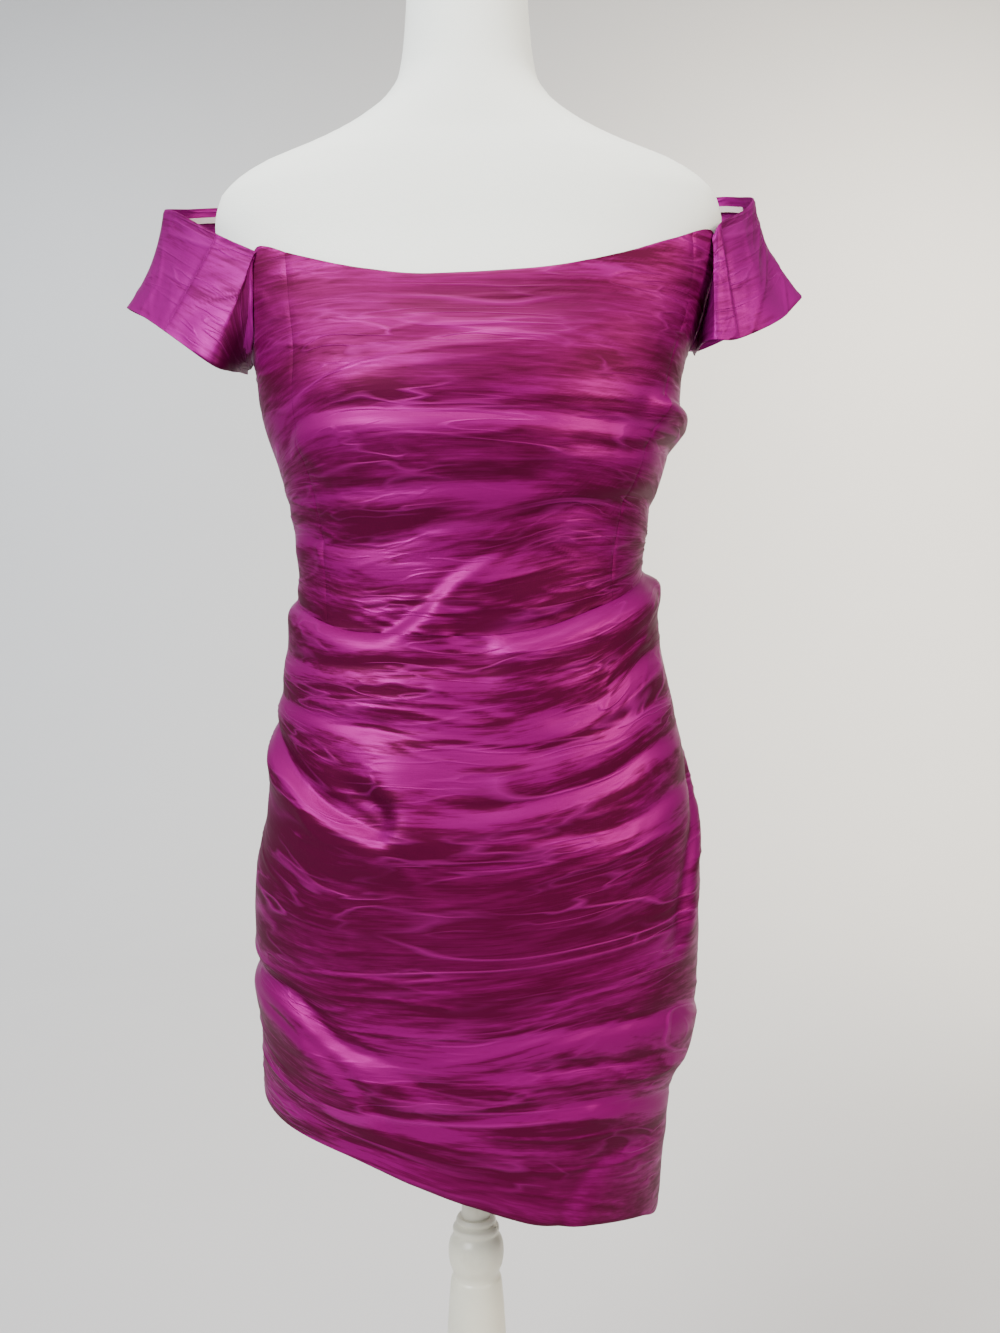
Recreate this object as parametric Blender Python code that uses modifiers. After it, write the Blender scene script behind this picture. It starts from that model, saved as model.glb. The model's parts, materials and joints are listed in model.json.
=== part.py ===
"""Off-shoulder sheath dress of ruched taffeta on a limbless dress form and a turned stand.

The form stands on the floor with its axis on Z and faces -Y. Units are metres. Sides are the
wearer's: the wearer's right is -X. A point of the cloth is given by its angle round the body
(0 at the centre front, +90 at the wearer's left side, 180 at the centre back) and its height.
"""

import math
from collections import namedtuple

import bmesh
import bpy
import numpy as np

# Driving sizes
CLOTH = 0.0020  # wall of the cloth, with its lining and seam turnings
SEAM_GAP = 0.0004  # between two panels sewn edge to edge
WAIST_GAP = 0.0006
SKIRT_PAD = 0.0025  # level of the skirt's gathered layers over the base surface
BODICE_PAD = 0.0018
FLARE_START = 0.730  # underside of the dress form
STAND_TOP = FLARE_START - 0.0003
BASE_RADIUS = 0.170
BASE_TOP = 0.046
ZIP_HALF_WIDTH = 0.0030
ZIP_TOP = 1.358
ZIP_END = 0.900
ZIP_GAP = 0.0003
SLIDER_HEIGHT = 1.344
TAPE_WIDTH = 0.005
TAPE_THICKNESS = 0.0010

# Cross-sections of the dress form. The shoulder's rows lie close, since it turns over there.
Section = namedtuple("Section", "height right left front back square")
FORM_SECTIONS = [
    Section(1.560, 0.0490, 0.0490, 0.0500, 0.0500, 2.0),
    Section(1.500, 0.0530, 0.0530, 0.0520, 0.0540, 2.0),
    Section(1.468, 0.0580, 0.0580, 0.0540, 0.0580, 2.0),
    Section(1.446, 0.0720, 0.0720, 0.0570, 0.0640, 2.0),
    Section(1.428, 0.0960, 0.0960, 0.0600, 0.0710, 2.0),
    Section(1.414, 0.1220, 0.1220, 0.0620, 0.0760, 2.05),
    Section(1.402, 0.1500, 0.1500, 0.0640, 0.0800, 2.1),
    Section(1.391, 0.1760, 0.1760, 0.0670, 0.0830, 2.2),
    Section(1.379, 0.1950, 0.1950, 0.0700, 0.0860, 2.2),
    Section(1.365, 0.2060, 0.2060, 0.0730, 0.0890, 2.3),
    Section(1.345, 0.2100, 0.2100, 0.0770, 0.0930, 2.3),
    Section(1.320, 0.2060, 0.2060, 0.0820, 0.0980, 2.3),
    Section(1.290, 0.1960, 0.1960, 0.0900, 0.1020, 2.35),
    Section(1.260, 0.1850, 0.1850, 0.1000, 0.1050, 2.35),
    Section(1.220, 0.1705, 0.1705, 0.1160, 0.1060, 2.35),
    Section(1.180, 0.1640, 0.1640, 0.1240, 0.1040, 2.3),
    Section(1.140, 0.1515, 0.1515, 0.1200, 0.1000, 2.25),
    Section(1.100, 0.1420, 0.1420, 0.1080, 0.0950, 2.2),
    Section(1.060, 0.1376, 0.1376, 0.0995, 0.0910, 2.2),
    Section(1.000, 0.1445, 0.1445, 0.0970, 0.0960, 2.2),
    Section(0.960, 0.1508, 0.1508, 0.1023, 0.1053, 2.2),
    Section(0.920, 0.1548, 0.1548, 0.1063, 0.1133, 2.2),
    Section(0.880, 0.1598, 0.1598, 0.1113, 0.1193, 2.2),
    Section(0.840, 0.1678, 0.1678, 0.1163, 0.1223, 2.2),
    Section(0.800, 0.1735, 0.1735, 0.1173, 0.1213, 2.2),
    Section(0.760, 0.1733, 0.1733, 0.1158, 0.1173, 2.2),
    Section(FLARE_START, 0.1700, 0.1700, 0.1110, 0.1100, 2.2),
]

# Cross-sections of the cloth's base surface, just off the form, fuller on the wearer's left hip.
DRESS_SECTIONS = [
    Section(1.402, 0.1590, 0.1590, 0.0690, 0.0850, 2.1),
    Section(1.391, 0.1845, 0.1845, 0.0720, 0.0880, 2.2),
    Section(1.379, 0.2030, 0.2030, 0.0745, 0.0905, 2.2),
    Section(1.365, 0.2137, 0.2137, 0.0770, 0.0944, 2.3),
    Section(1.345, 0.2160, 0.2160, 0.0805, 0.0982, 2.3),
    Section(1.320, 0.2105, 0.2105, 0.0852, 0.1022, 2.3),
    Section(1.290, 0.1992, 0.1992, 0.0932, 0.1052, 2.35),
    Section(1.260, 0.1882, 0.1882, 0.1032, 0.1082, 2.35),
    Section(1.220, 0.1740, 0.1740, 0.1192, 0.1092, 2.35),
    Section(1.180, 0.1672, 0.1690, 0.1272, 0.1072, 2.3),
    Section(1.140, 0.1547, 0.1547, 0.1232, 0.1032, 2.25),
    Section(1.100, 0.1452, 0.1452, 0.1112, 0.0982, 2.2),
    Section(1.060, 0.1408, 0.1408, 0.1027, 0.0942, 2.2),
    Section(1.000, 0.1477, 0.1510, 0.1002, 0.0992, 2.2),
    Section(0.960, 0.1540, 0.1610, 0.1055, 0.1085, 2.2),
    Section(0.920, 0.1580, 0.1695, 0.1095, 0.1165, 2.2),
    Section(0.880, 0.1630, 0.1755, 0.1145, 0.1225, 2.2),
    Section(0.840, 0.1710, 0.1810, 0.1195, 0.1255, 2.2),
    Section(0.800, 0.1770, 0.1820, 0.1205, 0.1245, 2.2),
    Section(0.760, 0.1765, 0.1820, 0.1190, 0.1205, 2.2),
    Section(0.720, 0.1715, 0.1810, 0.1165, 0.1165, 2.2),
    Section(0.680, 0.1710, 0.1765, 0.1140, 0.1120, 2.2),
    Section(0.655, 0.1710, 0.1640, 0.1130, 0.1110, 2.2),
    Section(0.630, 0.1700, 0.1575, 0.1120, 0.1100, 2.2),
    Section(0.580, 0.1655, 0.1515, 0.1100, 0.1080, 2.2),
    Section(0.500, 0.1580, 0.1465, 0.1080, 0.1060, 2.2),
]

# Edges that run round the body
EdgePoint = namedtuple("EdgePoint", "angle height")
TOP_EDGE = [
    EdgePoint(-180, 1.362),
    EdgePoint(-150, 1.369),
    EdgePoint(-126, 1.379),
    EdgePoint(-121, 1.364),
    EdgePoint(-112, 1.318),
    EdgePoint(-102, 1.270),
    EdgePoint(-92, 1.240),
    EdgePoint(-82, 1.233),
    EdgePoint(-72, 1.236),
    EdgePoint(-65, 1.246),
    EdgePoint(-59, 1.268),
    EdgePoint(-49, 1.309),
    EdgePoint(-38, 1.298),
    EdgePoint(-20, 1.281),
    EdgePoint(-6, 1.274),
    EdgePoint(10, 1.278),
    EdgePoint(32, 1.295),
    EdgePoint(47, 1.312),
    EdgePoint(64, 1.327),
    EdgePoint(72, 1.309),
    EdgePoint(80, 1.283),
    EdgePoint(86, 1.260),
    EdgePoint(92, 1.249),
    EdgePoint(99, 1.256),
    EdgePoint(106, 1.282),
    EdgePoint(114, 1.325),
    EdgePoint(121, 1.366),
    EdgePoint(126, 1.380),
    EdgePoint(150, 1.369),
    EdgePoint(180, 1.362),
]
WAIST_EDGE = [
    EdgePoint(-90, 1.040),
    EdgePoint(-78, 1.034),
    EdgePoint(-50, 1.016),
    EdgePoint(-36, 1.008),
    EdgePoint(-26, 1.006),
    EdgePoint(2, 1.003),
    EdgePoint(16, 1.007),
    EdgePoint(38, 1.023),
    EdgePoint(66, 1.043),
    EdgePoint(90, 1.061),
]
HEM_EDGE = [
    EdgePoint(-180, 0.600),
    EdgePoint(-140, 0.618),
    EdgePoint(-100, 0.637),
    EdgePoint(-80, 0.636),
    EdgePoint(-54, 0.626),
    EdgePoint(-32, 0.616),
    EdgePoint(-12, 0.596),
    EdgePoint(8, 0.573),
    EdgePoint(18, 0.565),
    EdgePoint(37, 0.559),
    EdgePoint(58, 0.551),
    EdgePoint(73, 0.543),
    EdgePoint(90, 0.548),
    EdgePoint(120, 0.563),
    EdgePoint(180, 0.600),
]

# Seams that run down the body
SeamPoint = namedtuple("SeamPoint", "height angle")
PRINCESS_RIGHT = [
    SeamPoint(1.000, -46),
    SeamPoint(1.080, -50),
    SeamPoint(1.155, -51),
    SeamPoint(1.214, -46),
    SeamPoint(1.301, -40),
]
PRINCESS_LEFT = [
    SeamPoint(1.000, 47),
    SeamPoint(1.108, 52),
    SeamPoint(1.189, 60),
    SeamPoint(1.241, 64),
    SeamPoint(1.278, 62),
    SeamPoint(1.318, 55),
]

# Folds. A fold is a dark crease along its route and a ridge to its right as one walks the route,
# so a route from the wearer's right to their left has its ridge below it. Sizes in millimetres.
Fold = namedtuple("Fold", "ridge width crease fade route")
FOLDS = [
    # bust tuck and its end at the wearer's left
    Fold(4.5, 15, 1.5, "both", [(-62, 1.150), (-43, 1.169), (-2, 1.166), (39, 1.161), (72, 1.166)]),
    Fold(9.0, 8, 0.0, "both", [(50, 1.190), (68, 1.188), (86, 1.187), (104, 1.180)]),
    Fold(2.5, 12, 2.0, "both", [(22, 1.146), (42, 1.144), (68, 1.153), (92, 1.160)]),
    # bust and midriff drags
    Fold(2.5, 10, 1.0, "both", [(-34, 1.200), (-17, 1.211), (-6, 1.221), (10, 1.228)]),
    Fold(2.5, 12, 1.0, "both", [(-56, 1.118), (-22, 1.112), (2, 1.117), (24, 1.119)]),
    Fold(3.0, 12, 1.5, "both", [(95, 1.108), (72, 1.114), (50, 1.107), (29, 1.100), (0, 1.083)]),
    Fold(2.5, 12, 1.0, "both", [(-80, 1.092), (-64, 1.085), (-38, 1.073), (-18, 1.075), (8, 1.103)]),
    # waist: the deep fold at the wearer's right, the curl beside it and the pleat at the left
    Fold(5.5, 11, 2.0, "both", [(-112, 1.046), (-78, 1.034), (-50, 1.016), (-26, 1.006),
                                (-14, 1.021), (0, 1.055), (18, 1.079)]),
    Fold(3.5, 9, 1.5, "both", [(18, 1.076), (6, 1.053), (-2, 1.034), (-5, 1.017), (0, 0.994)]),
    Fold(9.0, 14, 2.5, "start", [(2, 1.003), (16, 1.007), (38, 1.023), (66, 1.043), (88, 1.058)]),
    Fold(6.0, 12, 1.0, "end", [(88, 1.058), (104, 1.061), (128, 1.046)]),
    # hip drags from the wearer's left side
    Fold(3.5, 12, 1.5, "both", [(16, 0.935), (28, 0.945), (50, 0.978), (84, 0.997)]),
    Fold(3.5, 12, 1.5, "both", [(-6, 0.922), (16, 0.916), (41, 0.937), (56, 0.949), (84, 0.957)]),
    Fold(3.5, 12, 1.5, "both", [(-8, 0.868), (16, 0.880), (38, 0.897), (54, 0.916), (84, 0.929)]),
    Fold(3.0, 12, 1.5, "both", [(6, 0.852), (36, 0.857), (58, 0.878), (82, 0.890)]),
    # hip drags and the swag at the wearer's right
    Fold(3.0, 11, 1.0, "both", [(-94, 0.994), (-42, 0.980), (-18, 0.979), (0, 0.979)]),
    Fold(3.0, 11, 1.5, "both", [(-96, 0.968), (-71, 0.954), (-38, 0.939), (-8, 0.927)]),
    Fold(8.0, 12, 2.5, "both", [(-98, 0.950), (-70, 0.921), (-50, 0.893), (-38, 0.876),
                                (-28, 0.865), (-20, 0.857), (-22, 0.880), (-38, 0.899)]),
    # low folds at the wearer's right
    Fold(6.0, 13, 2.0, "both", [(-108, 0.752), (-87, 0.741), (-52, 0.733), (-32, 0.698), (-10, 0.685)]),
    Fold(3.0, 10, 1.5, "both", [(-84, 0.742), (-46, 0.704), (-33, 0.683), (-24, 0.660), (-14, 0.623)]),
    Fold(3.0, 8, 1.0, "both", [(-32, 0.681), (-14, 0.677), (-10, 0.662), (-14, 0.633)]),
    # low folds at the wearer's left
    Fold(4.0, 12, 1.5, "both", [(-16, 0.688), (10, 0.707), (48, 0.713), (82, 0.706), (110, 0.700)]),
    Fold(3.5, 11, 1.5, "both", [(-6, 0.677), (16, 0.682), (41, 0.680), (62, 0.677), (84, 0.680)]),
    Fold(3.0, 11, 1.5, "both", [(-11, 0.646), (21, 0.652), (40, 0.651), (94, 0.632)]),
    Fold(3.0, 14, 1.0, "end", [(22, 0.556), (32, 0.600), (48, 0.613), (92, 0.618)]),
    # upright crease beside the wearer's left side seam
    Fold(5.0, 12, 2.5, "both", [(58, 0.743), (60, 0.782), (65, 0.819), (73, 0.848), (84, 0.885),
                                (84, 0.922)]),
    # back: drags that hang between the side seams like those of the front
    Fold(3.0, 12, 1.0, "both", [(104, 1.250), (130, 1.238), (160, 1.246), (196, 1.258)]),
    Fold(3.0, 13, 1.0, "both", [(110, 1.196), (140, 1.176), (184, 1.170), (214, 1.184), (240, 1.206)]),
    Fold(3.0, 12, 1.0, "both", [(98, 1.130), (128, 1.112), (160, 1.106), (186, 1.114)]),
    Fold(3.0, 12, 1.0, "both", [(176, 1.076), (206, 1.070), (236, 1.086), (262, 1.110)]),
    Fold(4.5, 12, 1.5, "both", [(124, 1.044), (150, 1.022), (180, 1.014), (210, 1.022), (244, 1.044)]),
    Fold(3.5, 12, 1.5, "both", [(98, 0.992), (126, 0.968), (158, 0.952), (190, 0.956)]),
    Fold(3.5, 12, 1.5, "both", [(172, 0.984), (200, 0.966), (232, 0.972), (262, 0.996)]),
    Fold(4.0, 13, 1.5, "both", [(100, 0.936), (130, 0.900), (166, 0.880), (204, 0.884), (246, 0.920)]),
    Fold(3.5, 13, 1.5, "both", [(108, 0.872), (142, 0.838), (178, 0.826), (210, 0.838)]),
    Fold(4.0, 14, 1.5, "both", [(190, 0.788), (220, 0.776), (248, 0.800), (268, 0.836)]),
    Fold(4.0, 13, 1.5, "both", [(102, 0.746), (134, 0.722), (170, 0.716), (200, 0.726)]),
    Fold(3.5, 12, 1.5, "both", [(176, 0.688), (206, 0.680), (238, 0.696), (266, 0.724)]),
    Fold(3.0, 12, 1.0, "both", [(108, 0.648), (140, 0.636), (180, 0.644), (214, 0.660)]),
]
FADE_SHARE = 0.18  # share of a fold's length over which it dies away
ROUTE_STEPS = 70

# Sleeves. Each row is a place round the arm, from the front of the armhole outwards, with its top
# edge and its hem. The rows on the armhole have no top: it follows the edge of the bodice.
SleevePlace = namedtuple("SleevePlace", "top hem")
SLEEVE_RIGHT = [
    SleevePlace((-0.200, -0.045, 1.3255), (-0.243, -0.045, 1.250)),
    SleevePlace((-0.240, -0.015, 1.355), (-0.275, -0.015, 1.275)),
    SleevePlace((-0.257, 0.012, 1.368), (-0.287, 0.012, 1.2845)),
    SleevePlace((-0.245, 0.040, 1.379), (-0.272, 0.042, 1.283)),
    SleevePlace((-0.210, 0.062, 1.388), (-0.240, 0.066, 1.272)),
]
SLEEVE_LEFT = [
    SleevePlace((0.203, -0.040, 1.3335), (0.216, -0.045, 1.240)),
    SleevePlace((0.2266, -0.015, 1.353), (0.257, -0.015, 1.266)),
    SleevePlace((0.241, 0.012, 1.3735), (0.275, 0.012, 1.2905)),
    SleevePlace((0.236, 0.040, 1.386), (0.266, 0.042, 1.289)),
    SleevePlace((0.213, 0.060, 1.393), (0.236, 0.066, 1.276)),
]
ArmholePlace = namedtuple("ArmholePlace", "angle hem")
ARMHOLE_RIGHT = [
    ArmholePlace(-126, (-0.205, 0.074, 1.255)),
    ArmholePlace(-112, (-0.196, 0.050, 1.240)),
    ArmholePlace(-96, (-0.191, 0.026, 1.232)),
    ArmholePlace(-80, (-0.190, -0.004, 1.226)),
    ArmholePlace(-64, (-0.190, -0.036, 1.219)),
    ArmholePlace(-50, (-0.200, -0.064, 1.2175)),
]
ARMHOLE_LEFT = [
    ArmholePlace(126, (0.203, 0.072, 1.262)),
    ArmholePlace(113, (0.196, 0.050, 1.252)),
    ArmholePlace(100, (0.192, 0.026, 1.247)),
    ArmholePlace(88, (0.190, 0.000, 1.243)),
    ArmholePlace(76, (0.189, -0.030, 1.241)),
    ArmholePlace(65, (0.194, -0.055, 1.2365)),
]
SLEEVE_LAP = 0.004  # how far the sleeve's armhole edge laps below the bodice's
SLEEVE_STAND = 0.0008  # and how far outside it
BACK_CORNER_STAND = 0.0022  # more of that at the back corner, where the shoulder turns over
SLEEVE_WAIST = 0.006  # how far the sleeve curves in half-way down
SleeveRipple = namedtuple("SleeveRipple", "place width height")
RIPPLES_RIGHT = [
    SleeveRipple(0.10, 0.05, 0.003),
    SleeveRipple(0.24, 0.05, 0.004),
    SleeveRipple(0.40, 0.05, 0.003),
]
RIPPLES_LEFT = [
    SleeveRipple(0.06, 0.04, 0.006),
    SleeveRipple(0.17, 0.05, 0.005),
    SleeveRipple(0.30, 0.06, 0.003),
    SleeveRipple(0.42, 0.05, 0.004),
]

# Turned stand, as radius and height from the top down
TurnPoint = namedtuple("TurnPoint", "radius height")
POST_PROFILE = [
    TurnPoint(0.0115, STAND_TOP),
    TurnPoint(0.0115, 0.526),
    TurnPoint(0.0150, 0.522),
    TurnPoint(0.0166, 0.519),
    TurnPoint(0.0155, 0.516),
    TurnPoint(0.0188, 0.514),
    TurnPoint(0.0194, 0.511),
    TurnPoint(0.0185, 0.508),
    TurnPoint(0.0220, 0.502),
    TurnPoint(0.0231, 0.493),
    TurnPoint(0.0220, 0.484),
    TurnPoint(0.0194, 0.477),
    TurnPoint(0.0194, 0.473),
    TurnPoint(0.0215, 0.466),
    TurnPoint(0.0244, 0.423),
    TurnPoint(0.0256, 0.360),
    TurnPoint(0.0252, 0.280),
    TurnPoint(0.0215, 0.170),
    TurnPoint(0.0188, 0.100),
    TurnPoint(0.0240, 0.092),
    TurnPoint(0.0270, 0.082),
    TurnPoint(0.0240, 0.072),
    TurnPoint(0.0200, 0.066),
    TurnPoint(0.0230, BASE_TOP + 0.0003),
]
BASE_PROFILE = [
    TurnPoint(0.0440, BASE_TOP),
    TurnPoint(0.0520, 0.043),
    TurnPoint(0.0640, 0.038),
    TurnPoint(0.1500, 0.028),
    TurnPoint(0.1620, 0.024),
    TurnPoint(BASE_RADIUS, 0.016),
    TurnPoint(BASE_RADIUS, 0.004),
    TurnPoint(BASE_RADIUS - 0.003, 0.000),
]
TURN_STEPS = 28

# Grid of each wall
FORM_COLUMNS = 36
BODICE_ROWS = 26
BODICE_COLUMNS = 13
SKIRT_ROWS = 40
SKIRT_COLUMNS = 20
BACK_ROWS = 44
BACK_COLUMNS = 10
SLEEVE_ROWS = 7
SLEEVE_COLUMNS = 34
ZIP_ROWS = 30

# Colour, roughness and metallic value of each material
Finish = namedtuple("Finish", "colour roughness metallic")
TAFFETA = Finish((0.262, 0.007, 0.125), 0.42, 0.25)
TAFFETA_SLEEVE = Finish((0.290, 0.009, 0.180), 0.42, 0.25)
PALE_TAPE = Finish((0.620, 0.500, 0.480), 0.75, 0.0)
ZIP_CHAIN = Finish((0.190, 0.010, 0.090), 0.60, 0.0)
ENAMEL = Finish((0.240, 0.010, 0.110), 0.30, 0.60)
FORM_JERSEY = Finish((0.860, 0.870, 0.800), 0.85, 0.0)
PAINTED_WOOD = Finish((0.700, 0.680, 0.560), 0.45, 0.0)


def clear_scene():
    for obj in list(bpy.data.objects):
        bpy.data.objects.remove(obj, do_unlink=True)


def new_collection(name):
    collection = bpy.data.collections.new(name)
    bpy.context.scene.collection.children.link(collection)
    return collection


def add_object(name, data, collection, finish):
    obj = bpy.data.objects.new(name, data)
    collection.objects.link(obj)
    if finish is not None:
        obj.data.materials.append(new_material(name, finish))
    return obj


def new_material(name, finish):
    material = bpy.data.materials.new(name + "_material")
    material.use_nodes = True
    shader = material.node_tree.nodes["Principled BSDF"]
    shader.inputs["Base Color"].default_value = (*finish.colour, 1.0)
    shader.inputs["Roughness"].default_value = finish.roughness
    shader.inputs["Metallic"].default_value = finish.metallic
    return material


def smooth_column(keys, values, at):
    """Values between the rows of a table, as a monotone cubic that never overshoots a row."""
    steps = np.diff(keys)
    slopes = np.diff(values) / steps
    product = slopes[:-1] * slopes[1:]
    total = np.where(product > 0, slopes[:-1] + slopes[1:], 1.0)
    inner = np.where(product > 0, 2 * product / total, 0.0)
    tangents = np.concatenate([slopes[:1], inner, slopes[-1:]])
    at = np.clip(at, keys[0], keys[-1])
    row = np.clip(np.searchsorted(keys, at) - 1, 0, len(steps) - 1)
    step = steps[row]
    share = (at - keys[row]) / step
    rise = (1 + 2 * share) * (1 - share) ** 2 * values[row]
    rise += share * (1 - share) ** 2 * step * tangents[row]
    rise += share**2 * (3 - 2 * share) * values[row + 1]
    return rise + share**2 * (share - 1) * step * tangents[row + 1]


def read_table(table, key, at):
    """Every other column of a table of named rows, read at the given keys."""
    rows = sorted(table, key=lambda row: getattr(row, key))
    keys = np.array([getattr(row, key) for row in rows], dtype=float)
    names = [name for name in rows[0]._fields if name != key]
    columns = [np.array([getattr(row, name) for row in rows], dtype=float) for name in names]
    read = [smooth_column(keys, column, np.asarray(at, dtype=float)) for column in columns]
    return read[0] if len(read) == 1 else read


def wrap_angle(angle):
    return (np.asarray(angle, dtype=float) + 180.0) % 360.0 - 180.0


def body_point(sections, angle, height):
    """A point of a body surface, whose sections are squared ovals with their own four radii."""
    right, left, front, back, square = read_table(sections, "height", height)
    turn = np.radians(angle)
    across = np.sin(turn)
    ahead = np.cos(turn)
    x = np.where(across < 0, -right, left) * np.abs(across) ** (2 / square)
    y = np.where(ahead > 0, -front, back) * np.abs(ahead) ** (2 / square)
    return np.stack(np.broadcast_arrays(x, y, height), axis=-1)


def unit(vectors):
    return vectors / np.linalg.norm(vectors, axis=-1, keepdims=True)


def body_normal(sections, angle, height):
    """The outward direction, from small steps round the body and up it."""
    turn_step = 2.0
    rise_step = 0.006
    around = body_point(sections, angle + turn_step, height) - body_point(sections, angle - turn_step, height)
    upward = body_point(sections, angle, height + rise_step) - body_point(sections, angle, height - rise_step)
    return unit(np.cross(around, upward))


def smooth_route(points, count):
    """Evenly counted points of a smooth curve through the given ones, ends included."""
    points = np.array(points, dtype=float)
    padded = np.vstack([2 * points[0] - points[1], points, 2 * points[-1] - points[-2]])
    where = np.linspace(0, len(points) - 1, count)
    piece = np.minimum(where.astype(int), len(points) - 2)
    share = (where - piece)[:, None]
    before, start, end, after = (padded[piece + shift] for shift in range(4))
    bend = 2 * before - 5 * start + 4 * end - after
    twist = 3 * start - before - 3 * end + after
    return start + 0.5 * share * (end - before + share * (bend + share * twist))


def smooth_ring(points, count):
    """Evenly counted points of a smooth closed curve through the given ones."""
    points = np.array(points, dtype=float)
    size = len(points)
    where = np.arange(count) * size / count
    piece = where.astype(int)
    share = (where - piece)[:, None]
    before, start, end, after = (points[(piece + shift) % size] for shift in (-1, 0, 1, 2))
    bend = 2 * before - 5 * start + 4 * end - after
    twist = 3 * start - before - 3 * end + after
    return start + 0.5 * share * (end - before + share * (bend + share * twist))


def fold_line(fold):
    """The fold's route on the base surface, with its direction, its right-hand side and its fade."""
    route = smooth_route(fold.route, ROUTE_STEPS)
    line = body_point(DRESS_SECTIONS, wrap_angle(route[:, 0]), route[:, 1])
    normal = body_normal(DRESS_SECTIONS, wrap_angle(route[:, 0]), route[:, 1])
    along = unit(np.gradient(line, axis=0))
    right_hand = np.cross(along, normal)
    share = np.linspace(0, 1, ROUTE_STEPS)
    fade = np.ones(ROUTE_STEPS)
    if fold.fade in ("both", "start"):
        fade *= np.clip(share / FADE_SHARE, 0, 1)
    if fold.fade in ("both", "end"):
        fade *= np.clip((1 - share) / FADE_SHARE, 0, 1)
    return line, along, right_hand, fade * fade * (3 - 2 * fade)


def relief(angle, height):
    """How far the cloth stands out from its base surface: the level of its layers plus its folds."""
    shape = np.broadcast(angle, height).shape
    angle = np.broadcast_to(angle, shape).ravel()
    height = np.broadcast_to(height, shape).ravel()
    points = body_point(DRESS_SECTIONS, angle, height)
    below_waist = np.clip((1.02 - height) / 0.04, 0, 1)
    stand = BODICE_PAD + (SKIRT_PAD - BODICE_PAD) * below_waist
    for fold in FOLDS:
        line, along, right_hand, fade = fold_line(fold)
        width = fold.width / 1000
        away = points[:, None, :] - line[None, :, :]
        nearest = np.argmin(np.einsum("pqk,pqk->pq", away, away), axis=1)
        offset = away[np.arange(len(points)), nearest]
        side = np.einsum("pk,pk->p", offset, right_hand[nearest])
        beyond = np.einsum("pk,pk->p", offset, along[nearest])
        strength = fade[nearest] * np.exp(-((beyond / width) ** 2))
        reach = np.maximum(side / width, 0)
        stand = stand + strength * fold.ridge / 1000 * reach * np.exp(1 - reach)
        stand = stand - strength * fold.crease / 1000 * np.exp(-((side / (0.6 * width)) ** 2))
    return np.maximum(stand, 0).reshape(shape)


def cloth_wall(angle, height):
    """Outer and inner points of the cloth at a grid of angles and heights."""
    base = body_point(DRESS_SECTIONS, angle, height)
    normal = body_normal(DRESS_SECTIONS, angle, height)
    stand = relief(angle, height)[..., None]
    return base + normal * stand, base + normal * (stand - CLOTH)


def mesh_from_grids(name, outer, inner, closed):
    """A wall between two grids of points, rimmed at its edges. A closed grid joins its last column
    to its first."""
    rows, columns = outer.shape[:2]
    shell = bmesh.new()
    front = [[shell.verts.new(point) for point in row] for row in outer]
    back = [[shell.verts.new(point) for point in row] for row in inner]
    last = columns if closed else columns - 1
    for i in range(rows - 1):
        for j in range(last):
            k = (j + 1) % columns
            shell.faces.new((front[i][j], front[i][k], front[i + 1][k], front[i + 1][j]))
            shell.faces.new((back[i][j], back[i + 1][j], back[i + 1][k], back[i][k]))
    for j in range(last):
        k = (j + 1) % columns
        shell.faces.new((front[0][k], front[0][j], back[0][j], back[0][k]))
        shell.faces.new((front[-1][j], front[-1][k], back[-1][k], back[-1][j]))
    if not closed:
        for i in range(rows - 1):
            shell.faces.new((front[i][0], front[i + 1][0], back[i + 1][0], back[i][0]))
            shell.faces.new((front[i + 1][-1], front[i][-1], back[i][-1], back[i + 1][-1]))
    bmesh.ops.recalc_face_normals(shell, faces=shell.faces)
    mesh = bpy.data.meshes.new(name)
    shell.to_mesh(mesh)
    shell.free()
    mesh.shade_smooth()
    mesh.set_sharp_from_angle(angle=math.radians(50))
    return mesh


def panel_grid(lower, upper, sides, shares, rows):
    """Angles and heights of a panel's grid: rows run from its lower edge to its upper edge, and
    columns at the given shares of the way between its two seams."""
    first, last = sides
    guess = np.array([[first(1.2), last(1.2)]] * rows)
    rise = np.linspace(0, 1, rows)[:, None]
    shares = np.array(shares)[None, :]
    for _ in range(3):
        angle = guess[:, :1] + (guess[:, 1:] - guess[:, :1]) * shares
        height = lower(angle) + (upper(angle) - lower(angle)) * rise
        guess = np.stack([first(height[:, 0]), last(height[:, -1])], axis=1)
    angle = guess[:, :1] + (guess[:, 1:] - guess[:, :1]) * shares
    return angle, lower(angle) + (upper(angle) - lower(angle)) * rise


def top_edge(angle):
    return read_table(TOP_EDGE, "angle", angle)


def bodice_bottom(angle):
    return read_table(WAIST_EDGE, "angle", angle) + WAIST_GAP / 2


def skirt_top(angle):
    return read_table(WAIST_EDGE, "angle", angle) - WAIST_GAP / 2


def hem_edge(angle):
    return read_table(HEM_EDGE, "angle", angle)


def seam(table, sign):
    """One side of a shaped seam, as the angle at a height, set off by half the seam's gap."""
    mean_radius = 0.14
    shift = sign * math.degrees(SEAM_GAP / 2 / mean_radius)
    return lambda height: read_table(table, "height", height) + shift


def upright(angle):
    """A straight seam: the same angle at every height."""
    return lambda height: np.full(np.shape(height), float(angle))


def side_seam(angle, sign):
    """One side of a side seam, set off by half the seam's gap."""
    side_depth = 0.105
    square = 2.2
    share = (SEAM_GAP / 2 / side_depth) ** (square / 2)
    return upright(angle + sign * math.degrees(math.asin(share)))


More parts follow.
